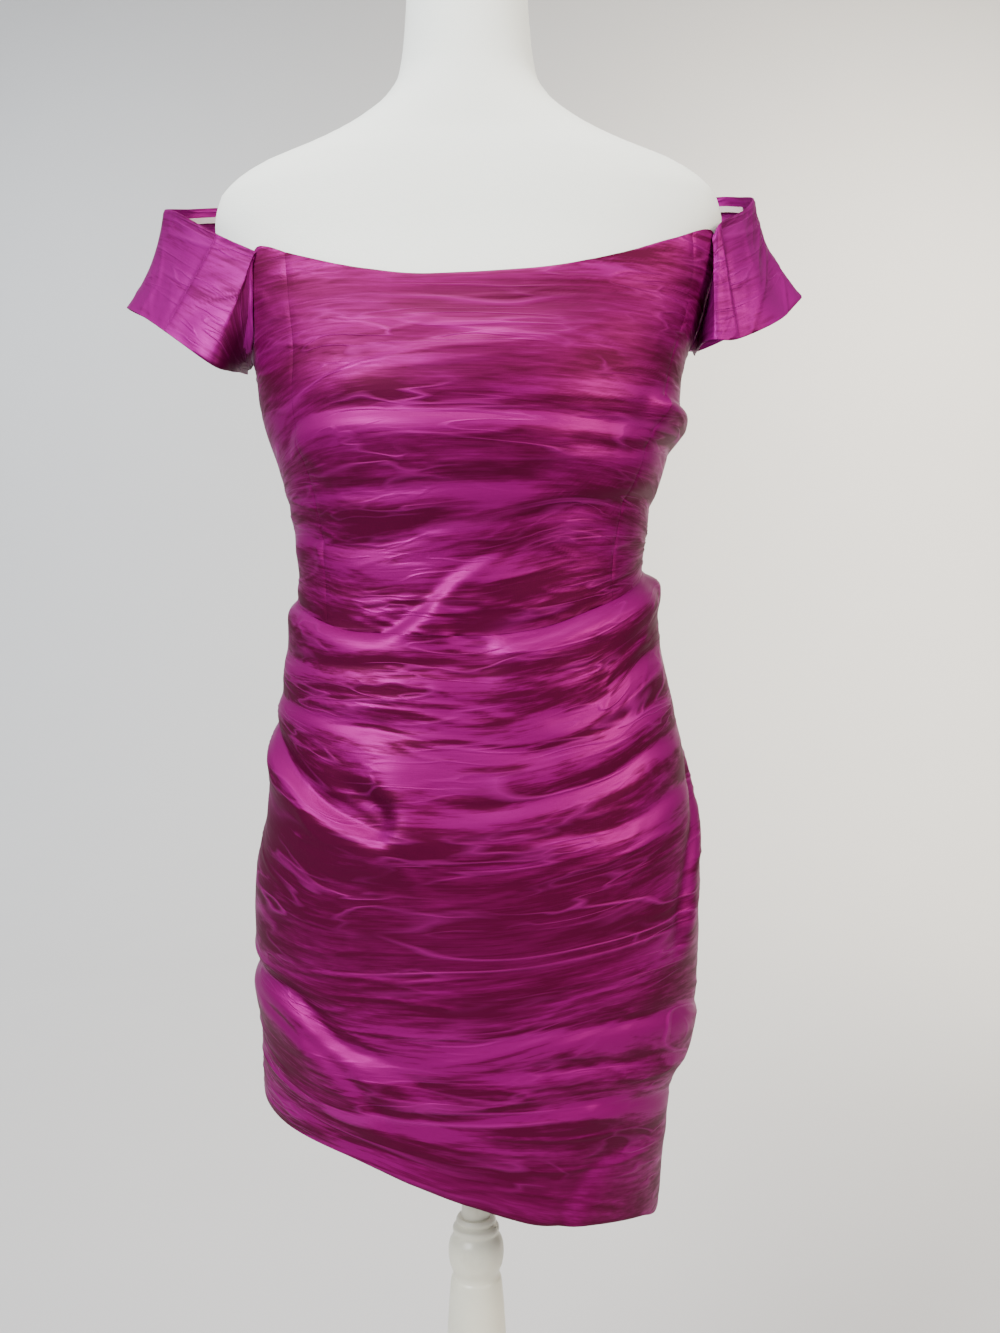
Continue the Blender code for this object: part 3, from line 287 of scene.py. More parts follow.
# Folds: a route from the wearer's right to their left has its ridge below it
FOLDS: tuple[Fold, ...] = (
    # bust tuck and its end at the wearer's left
    Fold(4.5, 15, 1.5, "both", ((-62, 1.150), (-43, 1.169), (-2, 1.166), (39, 1.161),
                                (72, 1.166))),
    Fold(9.0, 8, 0.0, "both", ((50, 1.190), (68, 1.188), (86, 1.187), (104, 1.180))),
    Fold(1.5, 12, 2.0, "both", ((22, 1.146), (42, 1.144), (68, 1.153), (92, 1.160))),
    # bust and midriff drags
    Fold(1.5, 10, 1.0, "both", ((-34, 1.200), (-17, 1.211), (-6, 1.221), (10, 1.228))),
    Fold(1.5, 12, 1.0, "both", ((-56, 1.118), (-22, 1.112), (2, 1.117), (24, 1.119))),
    Fold(1.8, 12, 1.5, "both", ((95, 1.108), (72, 1.114), (50, 1.107), (29, 1.100), (0, 1.083))),
    Fold(1.5, 12, 1.0, "both", ((-80, 1.092), (-64, 1.085), (-38, 1.073), (-18, 1.075),
                                (8, 1.103))),
    # waist: the deep fold at the wearer's right, the curl beside it and the pleat at the left
    Fold(5.5, 11, 2.0, "both", ((-112, 1.046), (-78, 1.034), (-50, 1.016), (-26, 1.006),
                                (-14, 1.021), (0, 1.055), (18, 1.079))),
    Fold(2.1, 9, 1.5, "both", ((18, 1.076), (6, 1.053), (-2, 1.034), (-5, 1.017), (0, 0.994))),
    Fold(9.0, 14, 2.5, "start", ((2, 1.003), (16, 1.007), (38, 1.023), (66, 1.043), (88, 1.058))),
    Fold(6.0, 12, 1.0, "end", ((88, 1.058), (104, 1.061), (128, 1.046))),
    # hip drags from the wearer's left side
    Fold(2.1, 12, 1.5, "both", ((16, 0.935), (28, 0.945), (50, 0.978), (84, 0.997))),
    Fold(2.1, 12, 1.5, "both", ((-6, 0.922), (16, 0.916), (41, 0.937), (56, 0.949), (84, 0.957))),
    Fold(2.1, 12, 1.5, "both", ((-8, 0.868), (16, 0.880), (38, 0.897), (54, 0.916), (84, 0.929))),
    Fold(1.8, 12, 1.5, "both", ((6, 0.852), (36, 0.857), (58, 0.878), (82, 0.890))),
    # hip drags and the swag at the wearer's right
    Fold(1.8, 11, 1.0, "both", ((-94, 0.994), (-42, 0.980), (-18, 0.979), (0, 0.979))),
    Fold(1.8, 11, 1.5, "both", ((-96, 0.968), (-71, 0.954), (-38, 0.939), (-8, 0.927))),
    Fold(8.0, 12, 2.5, "both", ((-98, 0.950), (-70, 0.921), (-50, 0.893), (-38, 0.876),
                                (-28, 0.865), (-20, 0.857), (-22, 0.880), (-38, 0.899))),
    # low folds at the wearer's right
    Fold(6.0, 13, 2.0, "both", ((-108, 0.752), (-87, 0.741), (-52, 0.733), (-32, 0.698),
                                (-10, 0.685))),
    Fold(1.8, 10, 1.5, "both", ((-84, 0.742), (-46, 0.704), (-33, 0.683), (-24, 0.660),
                                (-14, 0.623))),
    Fold(1.8, 8, 1.0, "both", ((-32, 0.681), (-14, 0.677), (-10, 0.662), (-14, 0.633))),
    # low folds at the wearer's left
    Fold(2.4, 12, 1.5, "both", ((-16, 0.688), (10, 0.707), (48, 0.713), (82, 0.706),
                                (110, 0.700))),
    Fold(2.1, 11, 1.5, "both", ((-6, 0.677), (16, 0.682), (41, 0.680), (62, 0.677), (84, 0.680))),
    Fold(1.8, 11, 1.5, "both", ((-11, 0.646), (21, 0.652), (40, 0.651), (94, 0.632))),
    Fold(1.8, 14, 1.0, "end", ((22, 0.556), (32, 0.600), (48, 0.613), (92, 0.618))),
    # upright crease beside the wearer's left side seam
    Fold(5.0, 12, 2.5, "both", ((58, 0.743), (60, 0.782), (65, 0.819), (73, 0.848), (84, 0.885),
                                (84, 0.922))),
    # back: drags that hang between the side seams like those of the front
    Fold(1.8, 12, 1.0, "both", ((104, 1.250), (130, 1.238), (160, 1.246), (196, 1.258))),
    Fold(1.8, 13, 1.0, "both", ((110, 1.196), (140, 1.176), (184, 1.170), (214, 1.184),
                                (240, 1.206))),
    Fold(1.8, 12, 1.0, "both", ((98, 1.130), (128, 1.112), (160, 1.106), (186, 1.114))),
    Fold(1.8, 12, 1.0, "both", ((176, 1.076), (206, 1.070), (236, 1.086), (262, 1.110))),
    Fold(4.5, 12, 1.5, "both", ((124, 1.044), (150, 1.022), (180, 1.014), (210, 1.022),
                                (244, 1.044))),
    Fold(2.1, 12, 1.5, "both", ((98, 0.992), (126, 0.968), (158, 0.952), (190, 0.956))),
    Fold(2.1, 12, 1.5, "both", ((172, 0.984), (200, 0.966), (232, 0.972), (262, 0.996))),
    Fold(2.4, 13, 1.5, "both", ((100, 0.936), (130, 0.900), (166, 0.880), (204, 0.884),
                                (246, 0.920))),
    Fold(2.1, 13, 1.5, "both", ((108, 0.872), (142, 0.838), (178, 0.826), (210, 0.838))),
    Fold(2.4, 14, 1.5, "both", ((190, 0.788), (220, 0.776), (248, 0.800), (268, 0.836))),
    Fold(2.4, 13, 1.5, "both", ((102, 0.746), (134, 0.722), (170, 0.716), (200, 0.726))),
    Fold(2.1, 12, 1.5, "both", ((176, 0.688), (206, 0.680), (238, 0.696), (266, 0.724))),
    Fold(1.8, 12, 1.0, "both", ((108, 0.648), (140, 0.636), (180, 0.644), (214, 0.660))),
)

# Sleeves
SLEEVE_RIGHT: tuple[SleevePlace, ...] = (
    SleevePlace((-0.200, -0.045, 1.3255), (-0.243, -0.045, 1.250)),
    SleevePlace((-0.240, -0.015, 1.355), (-0.275, -0.015, 1.275)),
    SleevePlace((-0.257, 0.012, 1.368), (-0.287, 0.012, 1.2845)),
    SleevePlace((-0.245, 0.040, 1.379), (-0.272, 0.042, 1.283)),
    SleevePlace((-0.210, 0.062, 1.388), (-0.240, 0.066, 1.272)),
)
SLEEVE_LEFT: tuple[SleevePlace, ...] = (
    SleevePlace((0.203, -0.040, 1.3335), (0.216, -0.045, 1.240)),
    SleevePlace((0.2266, -0.015, 1.353), (0.257, -0.015, 1.266)),
    SleevePlace((0.241, 0.012, 1.3735), (0.275, 0.012, 1.2905)),
    SleevePlace((0.236, 0.040, 1.386), (0.266, 0.042, 1.289)),
    SleevePlace((0.213, 0.060, 1.393), (0.236, 0.066, 1.276)),
)
ARMHOLE_RIGHT: tuple[ArmholePlace, ...] = (
    ArmholePlace(-126, (-0.205, 0.074, 1.255)),
    ArmholePlace(-112, (-0.196, 0.050, 1.240)),
    ArmholePlace(-96, (-0.191, 0.026, 1.232)),
    ArmholePlace(-80, (-0.190, -0.004, 1.226)),
    ArmholePlace(-64, (-0.190, -0.036, 1.219)),
    ArmholePlace(-50, (-0.200, -0.064, 1.2175)),
)
ARMHOLE_LEFT: tuple[ArmholePlace, ...] = (
    ArmholePlace(126, (0.203, 0.072, 1.262)),
    ArmholePlace(113, (0.196, 0.050, 1.252)),
    ArmholePlace(100, (0.192, 0.026, 1.247)),
    ArmholePlace(88, (0.190, 0.000, 1.243)),
    ArmholePlace(76, (0.189, -0.030, 1.241)),
    ArmholePlace(65, (0.194, -0.055, 1.2365)),
)
RIPPLES_RIGHT: tuple[SleeveRipple, ...] = as_rows(
    SleeveRipple,
    (0.10, 0.05, 0.003), (0.24, 0.05, 0.004), (0.40, 0.05, 0.003),
)
RIPPLES_LEFT: tuple[SleeveRipple, ...] = as_rows(
    SleeveRipple,
    (0.06, 0.04, 0.006), (0.17, 0.05, 0.005), (0.30, 0.06, 0.003), (0.42, 0.05, 0.004),
)

# Turned stand, as radius and height from the top down
POST_PROFILE: tuple[TurnPoint, ...] = as_rows(
    TurnPoint,
    (0.0115, STAND_TOP), (0.0115, 0.526), (0.0150, 0.522), (0.0166, 0.519), (0.0155, 0.516),
    (0.0188, 0.514), (0.0194, 0.511), (0.0185, 0.508), (0.0220, 0.502), (0.0231, 0.493),
    (0.0220, 0.484), (0.0194, 0.477), (0.0194, 0.473), (0.0215, 0.466), (0.0244, 0.423),
    (0.0256, 0.360), (0.0252, 0.280), (0.0215, 0.170), (0.0188, 0.100), (0.0240, 0.092),
    (0.0270, 0.082), (0.0240, 0.072), (0.0200, 0.066), (0.0230, BASE_TOP + 0.0003),
)
BASE_PROFILE: tuple[TurnPoint, ...] = as_rows(
    TurnPoint,
    (0.0440, BASE_TOP), (0.0520, 0.043), (0.0640, 0.038), (0.1500, 0.028), (0.1620, 0.024),
    (BASE_RADIUS, 0.016), (BASE_RADIUS, 0.004), (BASE_RADIUS - 0.003, 0.000),
)

# Lines that the crinkles follow, from the top of the bodice to the hem
FLOW_ANGLES = (-90, -60, -30, 0, 30, 60, 90, 135, 180, 225)
FLOW_LINES: tuple[FlowLine, ...] = (
    FlowLine(1.400, 1.400, 1.400, 1.400, 1.400, 1.400, 1.400, 1.400, 1.400, 1.400, 1.400),
    FlowLine(1.260, 1.255, 1.262, 1.264, 1.258, 1.262, 1.262, 1.255, 1.240, 1.250, 1.252),
    FlowLine(1.166, 1.140, 1.152, 1.169, 1.166, 1.162, 1.165, 1.170, 1.172, 1.168, 1.178),
    FlowLine(1.117, 1.120, 1.118, 1.113, 1.117, 1.119, 1.114, 1.108, 1.110, 1.110, 1.120),
    FlowLine(1.085, 1.100, 1.090, 1.078, 1.085, 1.100, 1.095, 1.090, 1.075, 1.078, 1.080),
    FlowLine(1.003, 1.040, 1.023, 1.007, 1.003, 1.017, 1.039, 1.061, 1.030, 1.012, 1.028),
    FlowLine(0.973, 0.998, 0.985, 0.977, 0.973, 0.985, 1.012, 1.035, 0.985, 0.975, 0.985),
    FlowLine(0.926, 0.972, 0.948, 0.935, 0.926, 0.945, 0.985, 0.998, 0.955, 0.945, 0.960),
    FlowLine(0.910, 0.960, 0.935, 0.918, 0.912, 0.926, 0.952, 0.962, 0.925, 0.915, 0.935),
    FlowLine(0.872, 0.945, 0.905, 0.872, 0.872, 0.890, 0.920, 0.932, 0.895, 0.880, 0.905),
    FlowLine(0.850, 0.925, 0.885, 0.856, 0.850, 0.858, 0.880, 0.893, 0.850, 0.840, 0.870),
    FlowLine(0.800, 0.840, 0.815, 0.800, 0.800, 0.812, 0.834, 0.850, 0.800, 0.795, 0.815),
    FlowLine(0.745, 0.765, 0.752, 0.742, 0.745, 0.756, 0.768, 0.778, 0.750, 0.748, 0.762),
    FlowLine(0.690, 0.742, 0.728, 0.697, 0.690, 0.707, 0.711, 0.704, 0.722, 0.716, 0.730),
    FlowLine(0.678, 0.722, 0.700, 0.682, 0.678, 0.683, 0.679, 0.681, 0.690, 0.684, 0.700),
    FlowLine(0.648, 0.690, 0.672, 0.655, 0.648, 0.652, 0.646, 0.634, 0.645, 0.645, 0.660),
    FlowLine(0.585, 0.636, 0.628, 0.615, 0.585, 0.561, 0.550, 0.548, 0.585, 0.595, 0.612),
    FlowLine(0.500, 0.500, 0.500, 0.500, 0.500, 0.500, 0.500, 0.500, 0.500, 0.500, 0.500),
)
# Where the crinkles are weaker, under 1, or stronger
CALM_AREAS: tuple[SoftArea, ...] = (
    SoftArea(0, 0.785, 45, 0.045, 0.28),
    SoftArea(-55, 0.800, 30, 0.040, 0.40),
    SoftArea(-20, 0.590, 40, 0.020, 0.30),
    SoftArea(60, 0.575, 30, 0.026, 0.40),
    SoftArea(180, 0.800, 50, 0.050, 0.45),
    SoftArea(0, 1.180, 120, 0.090, 0.60),
)
# Where the painted light and shade and the random tone play more, over 1, or less
PLAY_AREAS: tuple[SoftArea, ...] = (
    SoftArea(0, 1.240, 90, 0.060, 0.30),
    SoftArea(0, 1.120, 90, 0.050, 0.55),
    SoftArea(0, 0.785, 60, 0.050, 0.35),
    SoftArea(0, 0.590, 60, 0.026, 0.40),
    SoftArea(0, 0.930, 60, 0.060, 1.50),
    SoftArea(180, 1.200, 90, 0.080, 0.40),
    SoftArea(180, 0.800, 70, 0.050, 0.40),
)
# Where painted highlight lies on the cloth, over 0, or painted shade, under 0
PAINTED_LIGHT_AREAS: tuple[SoftArea, ...] = (
    SoftArea(-38, 1.150, 22, 0.014, 0.45),
    SoftArea(12, 1.097, 16, 0.010, 0.30),
    SoftArea(20, 1.130, 20, 0.012, -0.25),
    SoftArea(-40, 1.105, 16, 0.012, -0.25),
    SoftArea(-5, 1.060, 14, 0.018, 0.30),
    SoftArea(-20, 0.965, 34, 0.030, 0.35),
    SoftArea(30, 0.930, 34, 0.035, 0.30),
    SoftArea(-18, 0.872, 14, 0.016, 0.35),
    SoftArea(0, 0.790, 48, 0.045, -0.55),
    SoftArea(-60, 0.820, 26, 0.040, -0.40),
    SoftArea(18, 0.692, 34, 0.012, 0.35),
    SoftArea(24, 0.652, 30, 0.012, 0.30),
    SoftArea(-34, 0.672, 14, 0.014, 0.30),
    SoftArea(-20, 0.596, 44, 0.020, -0.50),
    SoftArea(64, 0.580, 26, 0.024, -0.25),
    SoftArea(0, 1.265, 40, 0.014, -0.15),
    SoftArea(160, 0.960, 50, 0.040, 0.25),
    SoftArea(180, 0.800, 60, 0.045, -0.40),
    SoftArea(200, 1.160, 40, 0.024, 0.20),
    SoftArea(180, 0.620, 60, 0.020, -0.30),
)


def smooth_column(keys: Array, values: Array, at: Array) -> Array:
    """Values between the rows of a table, as a monotone cubic that never overshoots a row.

    Args:
        keys: The rows' keys, rising.
        values: The rows' values.
        at: The keys to read at.

    Returns:
        The values at those keys.
    """
    steps = np.diff(keys)
    slopes = np.diff(values) / steps
    product = slopes[:-1] * slopes[1:]
    total = np.where(product > 0, slopes[:-1] + slopes[1:], 1.0)
    inner = np.where(product > 0, 2 * product / total, 0.0)
    tangents = np.concatenate([slopes[:1], inner, slopes[-1:]])
    at = np.clip(at, keys[0], keys[-1])
    row = np.clip(np.searchsorted(keys, at) - 1, 0, len(steps) - 1)
    step = steps[row]
    share = (at - keys[row]) / step
    rise = (1 + 2 * share) * (1 - share) ** 2 * values[row]
    rise += share * (1 - share) ** 2 * step * tangents[row]
    rise += share**2 * (3 - 2 * share) * values[row + 1]
    return rise + share**2 * (share - 1) * step * tangents[row + 1]


def read_table(table: tuple[Any, ...], key: str, at: Array) -> list[Array]:
    """Reads every other column of a table of named rows.

    Args:
        table: The rows.
        key: The name of the column that holds the keys.
        at: The keys to read at.

    Returns:
        One array for each other column.
    """
    rows = sorted(table, key=lambda row: getattr(row, key))
    keys = np.array([getattr(row, key) for row in rows], dtype=float)
    names = [name for name in rows[0]._fields if name != key]
    columns = [np.array([getattr(row, name) for row in rows], dtype=float) for name in names]
    return [smooth_column(keys, column, np.asarray(at, dtype=float)) for column in columns]


def unit(vectors: Array) -> Array:
    """The vectors at length one."""
    return vectors / np.linalg.norm(vectors, axis=-1, keepdims=True)


def wrap_angle(angle: Array) -> Array:
    """The angles between -180 and 180 degrees."""
    return (np.asarray(angle, dtype=float) + 180.0) % 360.0 - 180.0


def ease(share: Array) -> Array:
    """A smooth step from 0 to 1."""
    share = np.clip(share, 0, 1)
    return share * share * (3 - 2 * share)


def smooth_curve(points: Any, count: int, closed: bool = False) -> Array:
    """Evenly counted points of a smooth curve through the given ones.

    Args:
        points: The points that the curve passes through.
        count: How many points to return.
        closed: Whether the curve runs back to its first point.

    Returns:
        The curve's points.
    """
    points = np.array(points, dtype=float)
    size = len(points)
    if closed:
        where = np.arange(count) * size / count
        piece = where.astype(int)
        near = [points[(piece + shift) % size] for shift in (-1, 0, 1, 2)]
    else:
        padded = np.vstack([2 * points[0] - points[1], points, 2 * points[-1] - points[-2]])
        where = np.linspace(0, size - 1, count)
        piece = np.minimum(where.astype(int), size - 2)
        near = [padded[piece + shift] for shift in range(4)]
    share = (where - piece)[:, None]
    before, start, end, after = near
    bend = 2 * before - 5 * start + 4 * end - after
    twist = 3 * start - before - 3 * end + after
    return start + 0.5 * share * (end - before + share * (bend + share * twist))


@dataclass(frozen=True)
class BodySurface:
    """A body surface whose sections are squared ovals with their own four radii."""

    sections: tuple[Section, ...]

    def point(self, angle: Array, height: Array) -> Array:
        """The points at these angles and heights."""
        right, left, front, back, square = read_table(self.sections, "height", height)
        turn = np.radians(angle)
        across = np.sin(turn)
        ahead = np.cos(turn)
        x = np.where(across < 0, -right, left) * np.abs(across) ** (2 / square)
        y = np.where(ahead > 0, -front, back) * np.abs(ahead) ** (2 / square)
        return np.stack(np.broadcast_arrays(x, y, height), axis=-1)

    def normal(self, angle: Array, height: Array) -> Array:
        """The outward directions, from small steps round the body and up it."""
        turn, rise = 2.0, 0.006
        around = self.point(angle + turn, height) - self.point(angle - turn, height)
        upward = self.point(angle, height + rise) - self.point(angle, height - rise)
        return unit(np.cross(around, upward))


@dataclass(frozen=True)
class Creases:
    """The folds of the cloth over its base surface."""

    surface: BodySurface
    folds: tuple[Fold, ...]
    bodice_pad: float = 0.0018
    skirt_pad: float = 0.0025
    fade_share: float = 0.18
    route_steps: int = 70
    reach: float = 6.0

    def line(self, fold: Fold) -> tuple[Array, Array, Array, Array]:
        """A fold's route on the base surface.

        Args:
            fold: The fold.

        Returns:
            Its points, its direction, its right-hand side and its fade.
        """
        route = smooth_curve(fold.route, self.route_steps)
        angle = wrap_angle(route[:, 0])
        points = self.surface.point(angle, route[:, 1])
        along = unit(np.gradient(points, axis=0))
        right_hand = np.cross(along, self.surface.normal(angle, route[:, 1]))
        share = np.linspace(0, 1, self.route_steps)
        fade = np.ones(self.route_steps)
        if fold.fade in ("both", "start"):
            fade *= np.clip(share / self.fade_share, 0, 1)
        if fold.fade in ("both", "end"):
            fade *= np.clip((1 - share) / self.fade_share, 0, 1)
        return points, along, right_hand, ease(fade)

    def stand(self, angle: Array, height: Array) -> Array:
        """How far the cloth stands out from its base surface at each angle and height."""
        shape = np.broadcast(angle, height).shape
        angle = np.broadcast_to(angle, shape).ravel()
        height = np.broadcast_to(height, shape).ravel()
        points = self.surface.point(angle, height)
        below_waist = np.clip((1.02 - height) / 0.04, 0, 1)
        stand = self.bodice_pad + (self.skirt_pad - self.bodice_pad) * below_waist
        for fold in self.folds:
            line, along, right_hand, fade = self.line(fold)
            width = fold.width / 1000
            margin = self.reach * width
            inside = (points > line.min(0) - margin) & (points < line.max(0) + margin)
            picked = np.nonzero(inside.all(axis=1))[0]
            if not len(picked):
                continue
            away = points[picked][:, None, :] - line[None, :, :]
            nearest = np.argmin(np.einsum("pqk,pqk->pq", away, away), axis=1)
            offset = away[np.arange(len(picked)), nearest]
            side = np.einsum("pk,pk->p", offset, right_hand[nearest])
            beyond = np.einsum("pk,pk->p", offset, along[nearest])
            strength = fade[nearest] * np.exp(-((beyond / width) ** 2))
            outward = np.maximum(side / width, 0)
            stand[picked] += strength * fold.ridge / 1000 * outward * np.exp(1 - outward)
            stand[picked] -= strength * fold.crease / 1000 * np.exp(-((side / (0.6 * width)) ** 2))
        return np.maximum(stand, 0).reshape(shape)


@dataclass
class Crinkle:
    """The set of crinkled taffeta: broad swells and sharp pinched lines, long along the flow.

    Every piece of cloth takes its own stretch of the same repeatable noise.
    """

    seed: int = 7
    cells: int = 256
    swell_height: float = 0.0013
    swell_tall: float = 0.021
    swell_wide: float = 0.085
    pinch_height: float = 0.0009
    pinch_tall: float = 0.0190
    pinch_wide: float = 0.110
    fine_height: float = 0.0004
    fine_tall: float = 0.0095
    fine_wide: float = 0.055

    @cached_property
    def turns(self) -> Array:
        """The noise's directions, one for each cell corner."""
        source = np.random.default_rng(self.seed)
        return source.uniform(0, 2 * np.pi, (self.cells, self.cells))

    def noise(self, across: Array, up: Array) -> Array:
        """Smooth noise between -1 and 1, with cells one unit wide."""
        column, row = np.floor(across).astype(int), np.floor(up).astype(int)
        east, north = across - column, up - row
        total = np.zeros(np.broadcast(across, up).shape)
        for right in (0, 1):
            for above in (0, 1):
                turn = self.turns[(row + above) % self.cells, (column + right) % self.cells]
                slope = np.cos(turn) * (east - right) + np.sin(turn) * (north - above)
                share = ease(east) if right else 1 - ease(east)
                share = share * (ease(north) if above else 1 - ease(north))
                total += slope * share
        return 1.6 * total

    def lines(self, across: Array, up: Array, sharp: float) -> Array:
        """Sharp ridges where the noise passes through zero, from 0 to 1."""
        return np.clip(1 - np.abs(self.noise(across, up)) * sharp, 0, 1) ** 1.5

    def height(self, across: Array, up: Array) -> Array:
        """The crinkles at places on the cloth.

        Args:
            across: Metres round the cloth.
            up: Metres up the cloth, along its flow.

        Returns:
            The height of the crinkles in metres.
        """
        drift = up + 0.012 * self.noise(across / 0.15 + 31, up / 0.09 + 17)
        swell = self.noise(across / self.swell_wide, drift / self.swell_tall)
        pinch = self.lines(across / self.pinch_wide + 57, drift / self.pinch_tall + 5, 7.0)
        fine = self.lines(across / self.fine_wide + 91, drift / self.fine_tall + 43, 4.5)
        some = ease(0.4 + 1.5 * self.noise(across / 0.11 + 11, drift / 0.040 + 77))
        few = ease(0.3 + 1.5 * self.noise(across / 0.08 + 67, drift / 0.026 + 23))
        height = self.swell_height * swell + self.pinch_height * pinch * some
        return height + self.fine_height * fine * few


class Sock:
    """A shader socket whose arithmetic adds Math nodes."""

    def __init__(self, graph: "ShaderGraph", socket: bpy.types.NodeSocket) -> None:
        """Keeps the socket and the graph that it belongs to."""
        self.graph = graph
        self.socket = socket

    def maths(self, operation: str, first: Any, second: Any = 0.0) -> "Sock":
        """The result of a Math node."""
        return self.graph.add("Math", {"operation": operation}, {0: first, 1: second})[0]

    def __add__(self, other: Any) -> "Sock":
        """This plus other."""
        return self.maths("ADD", self, other)

    def __radd__(self, other: Any) -> "Sock":
        """Other plus this."""
        return self.maths("ADD", other, self)

    def __sub__(self, other: Any) -> "Sock":
        """This minus other."""
        return self.maths("SUBTRACT", self, other)

    def __rsub__(self, other: Any) -> "Sock":
        """Other minus this."""
        return self.maths("SUBTRACT", other, self)

    def __mul__(self, other: Any) -> "Sock":
        """This times other."""
        return self.maths("MULTIPLY", self, other)

    def __rmul__(self, other: Any) -> "Sock":
        """Other times this."""
        return self.maths("MULTIPLY", other, self)

    def __pow__(self, other: Any) -> "Sock":
        """This to the power of other."""
        return self.maths("POWER", self, other)

    def size(self) -> "Sock":
        """This without its sign."""
        return self.maths("ABSOLUTE", self)

    def kept(self) -> "Sock":
        """This held between 0 and 1."""
        return self.graph.add("Clamp", {}, {"Value": self})[0]


class ShaderGraph:
    """A material under construction."""

    def __init__(self, name: str) -> None:
        """Starts a material with an empty graph."""
        self.material = bpy.data.materials.new(name)
        self.material.use_nodes = True
        self.tree = self.material.node_tree
        self.tree.nodes.clear()

    def add(self, kind: str, settings: dict[str, Any], values: dict[Any, Any]) -> list[Sock]:
        """Adds a node.

        Args:
            kind: The node's type, without its ShaderNode prefix.
            settings: Its properties, which are set first; stops are a ramp's places and colours.
            values: Its sockets' values or links, by name or number.

        Returns:
            The node's outputs that are in use.
        """
        node = self.tree.nodes.new("ShaderNode" + kind)
        for name, value in settings.items():
            if name == "stops":
                self.set_stops(node, value)
            else:
                setattr(node, name, value)
        for key, value in values.items():
            if isinstance(value, Sock):
                self.tree.links.new(value.socket, node.inputs[key])
            else:
                node.inputs[key].default_value = value
        return [Sock(self, socket) for socket in node.outputs if socket.enabled]

    def set_stops(self, node: bpy.types.Node, stops: tuple[tuple[float, Colour], ...]) -> None:
        """Sets a colour ramp's stops."""
        elements = node.color_ramp.elements
        while len(elements) < len(stops):
            elements.new(0.5)
        for element, (place, colour) in zip(elements, stops):
            element.position = place
            element.color = (*colour, 1.0)

    def mix(self, share: Any, first: Any, second: Any) -> Sock:
        """A colour between two colours."""
        pair = [value if isinstance(value, Sock) else (*value, 1.0) for value in (first, second)]
        settings = {"data_type": "RGBA"}
        return self.add("Mix", settings, {0: share, 6: pair[0], 7: pair[1]})[0]

    def place(self, scale: tuple[float, float, float], uv: bool) -> Sock:
        """Places on the piece, scaled.

        Args:
            scale: Cells to the metre on each axis.
            uv: True for places on the cloth, False for places in the object.

        Returns:
            The scaled places.
        """
        if uv:
            start = self.add("UVMap", {"uv_map": "cloth"}, {})[0]
        else:
            start = self.object_place
        return self.add("Mapping", {}, {"Vector": start, "Scale": scale})[0]

    @cached_property
    def object_place(self) -> Sock:
        """Places in the object."""
        node = self.tree.nodes.new("ShaderNodeTexCoord")
        return Sock(self, node.outputs["Object"])

    def noise(
        self, place: Sock, detail: float = 2.0, rough: float = 0.5, lean: float = 0.0
    ) -> Sock:
        """Noise between 0 and 1 at these places, with cells one unit wide."""
        values: dict[Any, Any] = {"Vector": place, "Scale": 1.0, "Detail": detail}
        values |= {"Roughness": rough, "Distortion": lean}
        return self.add("TexNoise", {}, values)[0]

    def bump(
        self, height: Any, distance: float, strength: float = 1.0, normal: Any = None
    ) -> Sock:
        """A normal bent by a height from 0 to 1 that stands for distance metres."""
        values = {"Height": height, "Distance": distance, "Strength": strength}
        if normal is not None:
            values["Normal"] = normal
        return self.add("Bump", {}, values)[0]

    def finish(self, values: dict[str, Any]) -> bpy.types.Material:
        """Ends the graph with its surface.

        Args:
            values: The Principled shader's values or links.

        Returns:
            The material.
        """
        shader = self.add("BsdfPrincipled", {}, values)[0]
        self.add("OutputMaterial", {}, {"Surface": shader})
        return self.material


